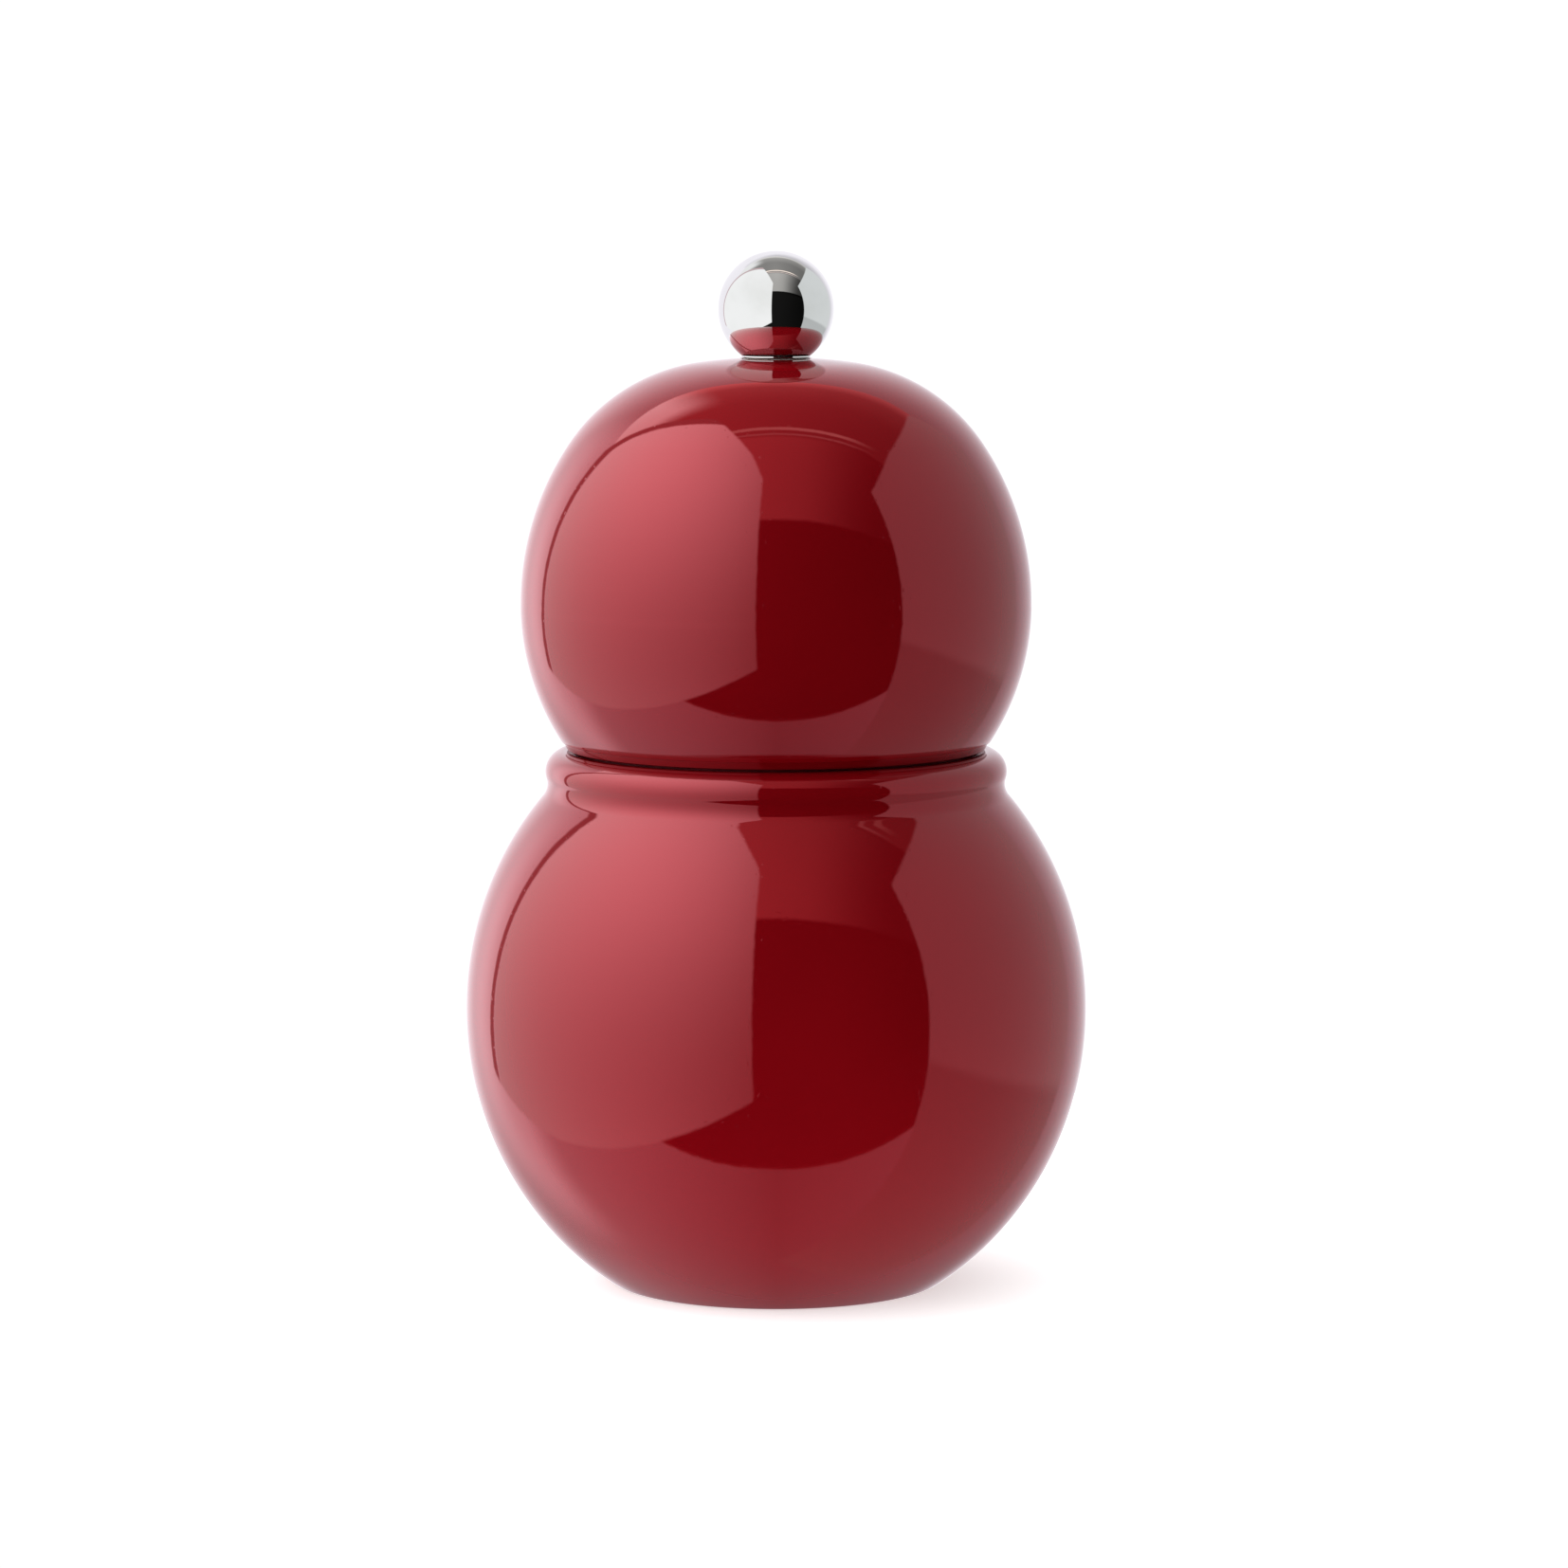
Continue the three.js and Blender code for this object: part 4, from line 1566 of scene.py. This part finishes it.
@dataclass
class HeadBall(SubAssembly):
    """The smaller ball that is turned by hand, with the plate that drives the shaft."""

    body: str = "head"
    radius: float = 29.1
    equator: float = 22.8
    lower_semi_height: float = 29.0
    underside: float = 7.2
    crown: float = 65.0
    crown_end: float = 7.7
    shoulder: float = 21.3
    shoulder_end: float = 56.0
    side: float = 32.6
    bore: float = 4.0
    spigot: float = 21.9
    spigot_ease: float = 0.8
    collar_top: float = 24.3
    collar_foot: float = 23.9
    collar_height: float = 0.85
    paint_depth: float = 3.0
    recess: float = 12.4
    recess_height: float = 2.0
    plate: float = 12.0
    plate_face: float = 4.4
    plate_square_half: float = 2.55
    plate_corner: float = 1.36
    screw_circle: float = 8.5
    bush_bore: float = 2.3
    bush: float = 3.7

    def top_arcs(self, top: float) -> list[Point]:
        """Return the outline above the widest point, three arcs tangent to each other.

        Args:
            top: The height of the crown, if the bore weren't there.

        Returns:
            The points, from the widest point to the edge of the bore.
        """
        crown_centre = (0.0, top - self.crown)
        lean = math.radians(self.crown_end)
        reach = self.crown - self.shoulder
        shoulder_centre = (reach * math.sin(lean), crown_centre[1] + reach * math.cos(lean))
        lean = math.radians(self.shoulder_end)
        reach = self.side - self.shoulder
        side_centre = (
            shoulder_centre[0] - reach * math.sin(lean),
            shoulder_centre[1] - reach * math.cos(lean),
        )
        bore_angle = 90 - math.degrees(math.asin((self.bore + 0.3) / self.crown))
        shoulder_angles = (90 - self.shoulder_end, 90 - self.crown_end)
        return [
            *arc(side_centre, (self.side,) * 2, 0, shoulder_angles[0], 40),
            *arc(shoulder_centre, (self.shoulder,) * 2, *shoulder_angles, 50)[1:],
            *arc(crown_centre, (self.crown,) * 2, shoulder_angles[1], bore_angle, 10)[1:],
        ]

    def build_ball(self) -> None:
        """Turn the ball and its spigot."""
        foot = lowest("head_shell")
        top = highest("head_shell") - foot + self.bore**2 / (2 * self.crown)
        edge_angle = angle_at(self.underside, self.equator, self.lower_semi_height)
        lower = arc((0.0, self.equator), (self.radius, self.lower_semi_height), edge_angle, 0, 50)
        inner_foot, outer_foot = (self.recess, 0.0), (self.spigot, 0.0)
        collar_low = self.underside - self.collar_height
        inner_corner = (self.spigot, collar_low)
        collar_foot = (self.collar_foot, collar_low)
        collar_top = (self.collar_top, self.underside)
        paint_edge = self.underside - self.paint_depth
        crown = self.top_arcs(top)
        bore_edge = (self.bore, crown[-1][1] + 0.01)
        bore_end = (self.bore, self.recess_height)
        recess_corner = (self.recess, self.recess_height)
        outline = Outline()
        outline.run(eased(recess_corner, inner_foot, outer_foot, 0.3), bare=1)
        outline.run(eased(inner_foot, outer_foot, inner_corner, self.spigot_ease), bare=1)
        outline.run([(self.spigot, paint_edge - 0.1)], bare=1)
        outline.run([(self.spigot, paint_edge)], bare=OVERSPRAY)
        outline.run(eased(outer_foot, inner_corner, collar_foot, 0.3), bare=OVERSPRAY)
        outline.run(eased(inner_corner, collar_foot, collar_top, 0.1))
        outline.run([collar_top, *eased(collar_top, lower[0], lower[1], 0.08)])
        outline.run([*lower[1:-1], *crown])
        outline.run(eased(crown[-1], bore_edge, bore_end, 0.25))
        outline.run([(self.bore, bore_edge[1] - 1.2)])
        outline.run([(self.bore, bore_edge[1] - 1.3)], bare=1)
        outline.run(eased(bore_edge, bore_end, recess_corner, 0.3), bare=1)
        outline.run(eased(bore_end, recess_corner, inner_foot, 0.3), bare=1)
        self.dress(outline.turn("lacquered_head", Slot.LACQUER, foot, 256), Slot.LACQUER, "head_shell")

    def build_plate(self) -> None:
        """Make the plate with a square hole that turns the shaft, and its screws."""
        low = lowest("drive_plate")
        thick = highest("drive_plate") - low
        half = self.plate_square_half
        inner = self.plate_face - 0.2
        section = open_ended(band(self.plate_face, self.plate, thick), 0.25)
        outline = Outline().run([(inner, 0.0), *section, (inner, thick)])
        outline.run([(half + 0.08, thick), (half, thick - 0.15)], corner=self.plate_corner)
        outline.run([(half, 0.15), (half + 0.08, 0.0)], corner=self.plate_corner)
        blank = outline.turn("drive_plate_pressed", Slot.STEEL, low, 144)
        self.fasten(blank, "drive_plate", "drive_screw", self.screw_circle)

    def build(self) -> None:
        """Build the head with its fittings."""
        self.build_ball()
        self.build_plate()
        self.ring("head_bush_moulded", Slot.NYLON, "head_bush", self.bush_bore, self.bush, 0.2)


@dataclass
class Washer(SubAssembly):
    """The washer that the ball nut bears on."""

    body: str = "knob_washer"
    inner: float = 2.3
    outer: float = 3.7

    def build(self) -> None:
        """Make the washer."""
        self.ring("ball_nut_washer", Slot.NYLON, "knob_washer", self.inner, self.outer, 0.14)


@dataclass
class BallNut(SubAssembly):
    """The chrome ball nut with its threaded brass insert."""

    body: str = "knob"
    radius: float = 6.55
    bore: float = 3.3
    rim: float = 0.2
    insert: float = 3.0
    thread: Thread = field(default_factory=Thread)

    def build_ball(self) -> None:
        """Turn the ball."""
        foot = lowest("knob_ball")
        height = highest("knob_ball") - foot
        centre = height - self.radius
        bore_top = highest("knob_insert") - foot + 0.4
        base_angle = angle_at(0.0, centre, self.radius)
        ball = arc((0.0, centre), (self.radius,) * 2, base_angle, 90, 90)
        top, inner = (self.bore, bore_top), (self.bore, -self.rim)
        outer = (ball[0][0], -self.rim)
        outline = Outline().run([(0.0, bore_top), *eased((0.0, bore_top), top, inner, 0.2)])
        outline.run(eased(top, inner, outer, 0.08))
        outline.run([*eased(inner, outer, ball[0], 0.06), *ball[:-1], (0.0, height)])
        self.dress(outline.turn("chrome_ball_nut", Slot.CHROME, foot, 192), Slot.CHROME, "knob_ball")

    def build_insert(self) -> None:
        """Make the insert that runs on the shaft's upper thread."""
        foot = lowest("knob_insert")
        height = highest("knob_insert") - foot
        bore = self.thread.crest + 0.1
        section = open_ended(band(bore + 0.3, self.insert, height), 0.15)
        outline = Outline().run([(bore + 0.2, 0.0), *section, (bore + 0.2, height)])
        outline.run(self.thread.rows(bore, height - 0.1, 0.1), cut=0.6)
        piece = outline.turn("threaded_insert", Slot.BRASS, foot, 64, **self.thread.ridges())
        self.dress(piece, Slot.BRASS, "knob_insert")

    def build(self) -> None:
        """Build the ball nut."""
        self.build_ball()
        self.build_insert()


# ------------------------------------------------------------------ studio


@dataclass
class Studio:
    """Plain pale floor, soft boxes on both sides of the mill and the camera.

    The boxes' edges are planes through the mill: upright ones are given by their angle in degrees
    to the right of straight ahead, the others by their normals. The levels are the light round the
    mill from straight below at -90 degrees, over the viewer at 0, to straight above at 90.
    """

    floor_half: float = 0.13
    camera_at: tuple[float, float, float] = (0.0, -0.675, 0.134)
    camera_aim: tuple[float, float, float] = (0.0009, 0.0, 0.0573)
    lens: float = 136.5
    sensor: float = 36.0
    left_front: float = -9.0
    left_back: Color = (-0.591, -0.792, -0.152)
    left_top: Color = (-0.935, -0.228, -0.272)
    left_bottom: Color = (-0.536, -0.278, 0.778)
    left_blur: float = 0.012
    seam_color: Color = (1.0, 0.75, 0.78)
    right_front: float = 58.0
    right_back: float = 138.0
    right_top: Color = (0.753, 0.109, -0.648)
    right_ground: Color = (0.30, 0.10, 0.949)
    right_color: Color = (0.97, 1.0, 1.0)
    lamp_edges: tuple[tuple[float, float, Color, float], ...] = (
        (79.6, 80.8, (1.0, 0.8, 0.75), 0.8),
        (83.4, 85.6, (1.0, 0.85, 0.75), 1.2),
    )
    brightest: float = 3.0
    levels: tuple[Point, ...] = (
        (-180, 1.0), (-128, 1.0), (-95, 0.42), (-50, 0.4), (-49, 0.008), (36.6, 0.010), (37.4, 0.50),
        (78, 0.52), (79, 0.30), (108, 0.28), (124, 0.42), (134, 1.3), (150, 1.5), (180, 1.1),
    )
    table_edge: Color = (0.0, 0.760, -0.649)
    table_color: Color = (1.0, 0.97, 1.03)
    mirror_white: float = 0.98
    plain_white: float = 1.05

    def build_floor(self) -> None:
        """Lay the floor, which is left out of reflections."""
        half = self.floor_half
        made = bpy.data.meshes.new("floor")
        corners = [(-half, -half, 0), (half, -half, 0), (half, half, 0), (-half, half, 0)]
        made.from_pydata(corners, [], [(0, 1, 2, 3)])
        made.materials.append(Paper().material())
        floor = bpy.data.objects.new("floor", made)
        bpy.context.scene.collection.objects.link(floor)
        floor.visible_glossy = False

    def build_camera(self) -> None:
        """Stand the camera in front of the mill, a little above its middle."""
        data = bpy.data.cameras.new("camera")
        data.lens = self.lens
        data.sensor_width = self.sensor
        data.clip_start = 0.01
        data.clip_end = 30.0
        camera = bpy.data.objects.new("camera", data)
        camera.location = self.camera_at
        look = Vector(self.camera_aim) - Vector(self.camera_at)
        camera.rotation_euler = look.to_track_quat("-Z", "Y").to_euler()
        bpy.context.scene.collection.objects.link(camera)
        bpy.context.scene.camera = camera

    @staticmethod
    def glow(tree: Tree, color: Color, strength: Value | float) -> bpy.types.Node:
        """Return light of one colour.

        Args:
            tree: The world's tree.
            color: Its colour.
            strength: Its strength.

        Returns:
            The background node.
        """
        return tree.node("ShaderNodeBackground", None, {"Color": rgba(color), "Strength": strength})

    @staticmethod
    def over(tree: Tree, mask: Value, under: Any, light: Any) -> bpy.types.Node:
        """Lay one light over another where a mask is 1.

        Args:
            tree: The world's tree.
            mask: Where the light is seen.
            under: What is seen elsewhere.
            light: The light.

        Returns:
            Both lights.
        """
        return tree.node("ShaderNodeMixShader", None, {0: mask, 1: under, 2: light})

    @staticmethod
    def beyond(tree: Tree, direction: Any, normal: Color, blur: float = 0.012) -> Value:
        """Return 1 on the side of a plane through the mill that its normal points to.

        Args:
            tree: The world's tree.
            direction: The direction looked in.
            normal: The plane's normal.
            blur: Half the width of its soft edge.

        Returns:
            The mask.
        """
        return tree.dot(direction, normal).step(-blur, blur)

    @staticmethod
    def upright(azimuth: float, sign: float) -> Color:
        """Return the normal of an upright plane that faces away from the viewer's line.

        Args:
            azimuth: The plane's angle from straight ahead of the mill, in degrees to the right.
            sign: 1 if the far side of the plane is wanted, -1 for the near side.

        Returns:
            The normal.
        """
        angle = math.radians(azimuth)
        return (sign * math.cos(angle), sign * math.sin(angle), 0.0)

    def left_box(self, tree: Tree, direction: Any, under: Any, mirror: Value) -> Any:
        """Add the large soft box on the left: brighter away from its front edge and upwards.

        A darker seam runs along its back edge.

        Args:
            tree: The world's tree.
            direction: The direction looked in.
            under: The rest of the studio.
            mirror: 1 for a mirror's view, in which the box is a plain white that doesn't burn out.

        Returns:
            Both lights.
        """
        x, _, z = tree.axes(direction)
        front = self.beyond(tree, direction, self.upright(self.left_front, -1))
        top = self.beyond(tree, direction, self.left_top)
        bottom = self.beyond(tree, direction, self.left_bottom)
        mask = front * top * bottom
        strength = (0.56 - x * 1.5) * (z * z * 0.9 + z * 0.7 + 0.85)
        light = self.glow(tree, WHITE, strength + (1.0 - strength) * mirror)
        depth = tree.dot(direction, self.left_back)
        seam = mask * depth.step(-0.075, -0.05) * (1.0 - depth.step(-0.02, 0.005))
        under = self.over(tree, seam, under, self.glow(tree, self.seam_color, 0.42 + mirror * 0.2))
        return self.over(tree, mask * depth.step(-self.left_blur, self.left_blur), under, light)

    def right_box(self, tree: Tree, direction: Any, under: Any, mirror: Value) -> Any:
        """Add the soft box on the right, and the pale ground below it, as left_box does."""
        front = self.beyond(tree, direction, self.upright(self.right_front, 1))
        back = self.beyond(tree, direction, self.upright(self.right_back, -1))
        top = self.beyond(tree, direction, self.right_top)
        ground = self.beyond(tree, direction, self.right_ground, 0.03)
        light = self.glow(tree, self.right_color, 0.46 + ground * 0.2 + mirror * 0.06)
        return self.over(tree, front * back * top, under, light)

    def table(self, tree: Tree, direction: Any, under: Any, mirror: Value) -> Any:
        """Add the table's pale top below the dark gap, and what is behind it, as left_box does."""
        x, y, z = tree.axes(direction)
        mask = self.beyond(tree, direction, self.table_edge)
        left = (-x).math("MAXIMUM", 0.0)
        right = x.math("MAXIMUM", 0.0)
        behind = y.step(0.5, 0.98) * z.step(-0.6, -0.15) * (1.0 - right * 0.85)
        rim = x.step(-0.45, -0.7) * y.step(0.2, 0.5)
        strength = left * 0.75 + right * 0.25 + behind * 0.75 + rim * 0.75 + 0.4
        strength = strength + (strength.math("MINIMUM", self.mirror_white) - strength) * mirror
        return self.over(tree, mask, under, self.glow(tree, self.table_color, strength))

    def reflected(self, tree: Tree, direction: Any, mirror: Value) -> Any:
        """Return the studio as polished surfaces see it; mirror is 1 for perfectly smooth ones."""
        x, y, z = tree.axes(direction)
        angle = z.math("ARCTAN2", -y) * (180 / math.pi)
        stops = [((at + 180) / 360, (level / self.brightest,) * 3) for at, level in self.levels]
        ramp = tree.node("ShaderNodeValToRGB", {"stops": stops}, {"Fac": angle / 360 + 0.5})
        around = Value(tree, ramp.outputs["Color"]) * self.brightest
        over_gap = angle.step(30, 37) * (1.0 - angle.step(78, 80))
        faded = 1.0 - over_gap * x.step(0.15, 0.72) * 0.85
        sideways = (1.0 - x * 0.7) * (1.0 - mirror * x.step(0.1, -0.3) * 0.25)
        level = around * faded * sideways
        grey = self.glow(tree, (1.0, 0.97, 0.94), level)
        ruddy = self.glow(tree, (1.0, 0.4, 0.4), level * 1.45)
        seen = self.over(tree, mirror, ruddy, grey)
        high_left = x.step(-0.2, -0.45) * angle.step(106, 118)
        seen = self.over(tree, high_left, seen, self.glow(tree, WHITE, 2.4 - mirror * 1.5))
        for low, high, color, brightness in self.lamp_edges:
            strip = angle.step(low - 0.5, low + 0.5) * (1.0 - angle.step(high - 0.5, high + 0.5))
            strip = strip * x.step(-0.5, -0.35) * (1.0 - x.step(0.35, 0.62))
            seen = self.over(tree, strip, seen, self.glow(tree, color, brightness))
        seen = self.table(tree, direction, seen, mirror)
        seen = self.right_box(tree, direction, seen, mirror)
        return self.left_box(tree, direction, seen, mirror)

    def build_light(self) -> None:
        """Surround the mill with light: one view for matt surfaces, one for polished ones."""
        world = bpy.data.worlds.new("studio")
        world.use_nodes = True
        world.node_tree.nodes.clear()
        tree = Tree(world.node_tree)
        direction = tree.node("ShaderNodeTexCoord").outputs["Generated"]
        x, _, z = tree.axes(direction)
        above = z.step(-0.02, 0.02) * 0.95 + 0.06
        soft = (0.93 - x * 0.8) * (z * 0.65 + 1.0) * above
        rays = tree.node("ShaderNodeLightPath")
        shader = self.reflected(tree, direction, Value(tree, rays.outputs["Is Singular Ray"]))
        matt = self.glow(tree, WHITE, soft)
        shader = self.over(tree, Value(tree, rays.outputs["Is Diffuse Ray"]), shader, matt)
        plain = self.glow(tree, WHITE, self.plain_white)
        shader = self.over(tree, Value(tree, rays.outputs["Is Camera Ray"]), shader, plain)
        tree.node("ShaderNodeOutputWorld", None, {"Surface": shader})
        bpy.context.scene.world = world
        bpy.context.scene.view_settings.view_transform = "Standard"

    def build(self) -> None:
        """Build the whole studio."""
        self.build_camera()
        self.build_floor()
        self.build_light()


def main() -> None:
    """Build the studio and every sub-assembly of the mill."""
    logging.basicConfig(level=logging.INFO, format="%(name)s: %(message)s")
    Studio().build()
    for part in (BodyBall(), Grinder(), Carrier(), ShaftSet(), HeadBall(), Washer(), BallNut()):
        part.build()


if __name__ == "__main__":
    main()
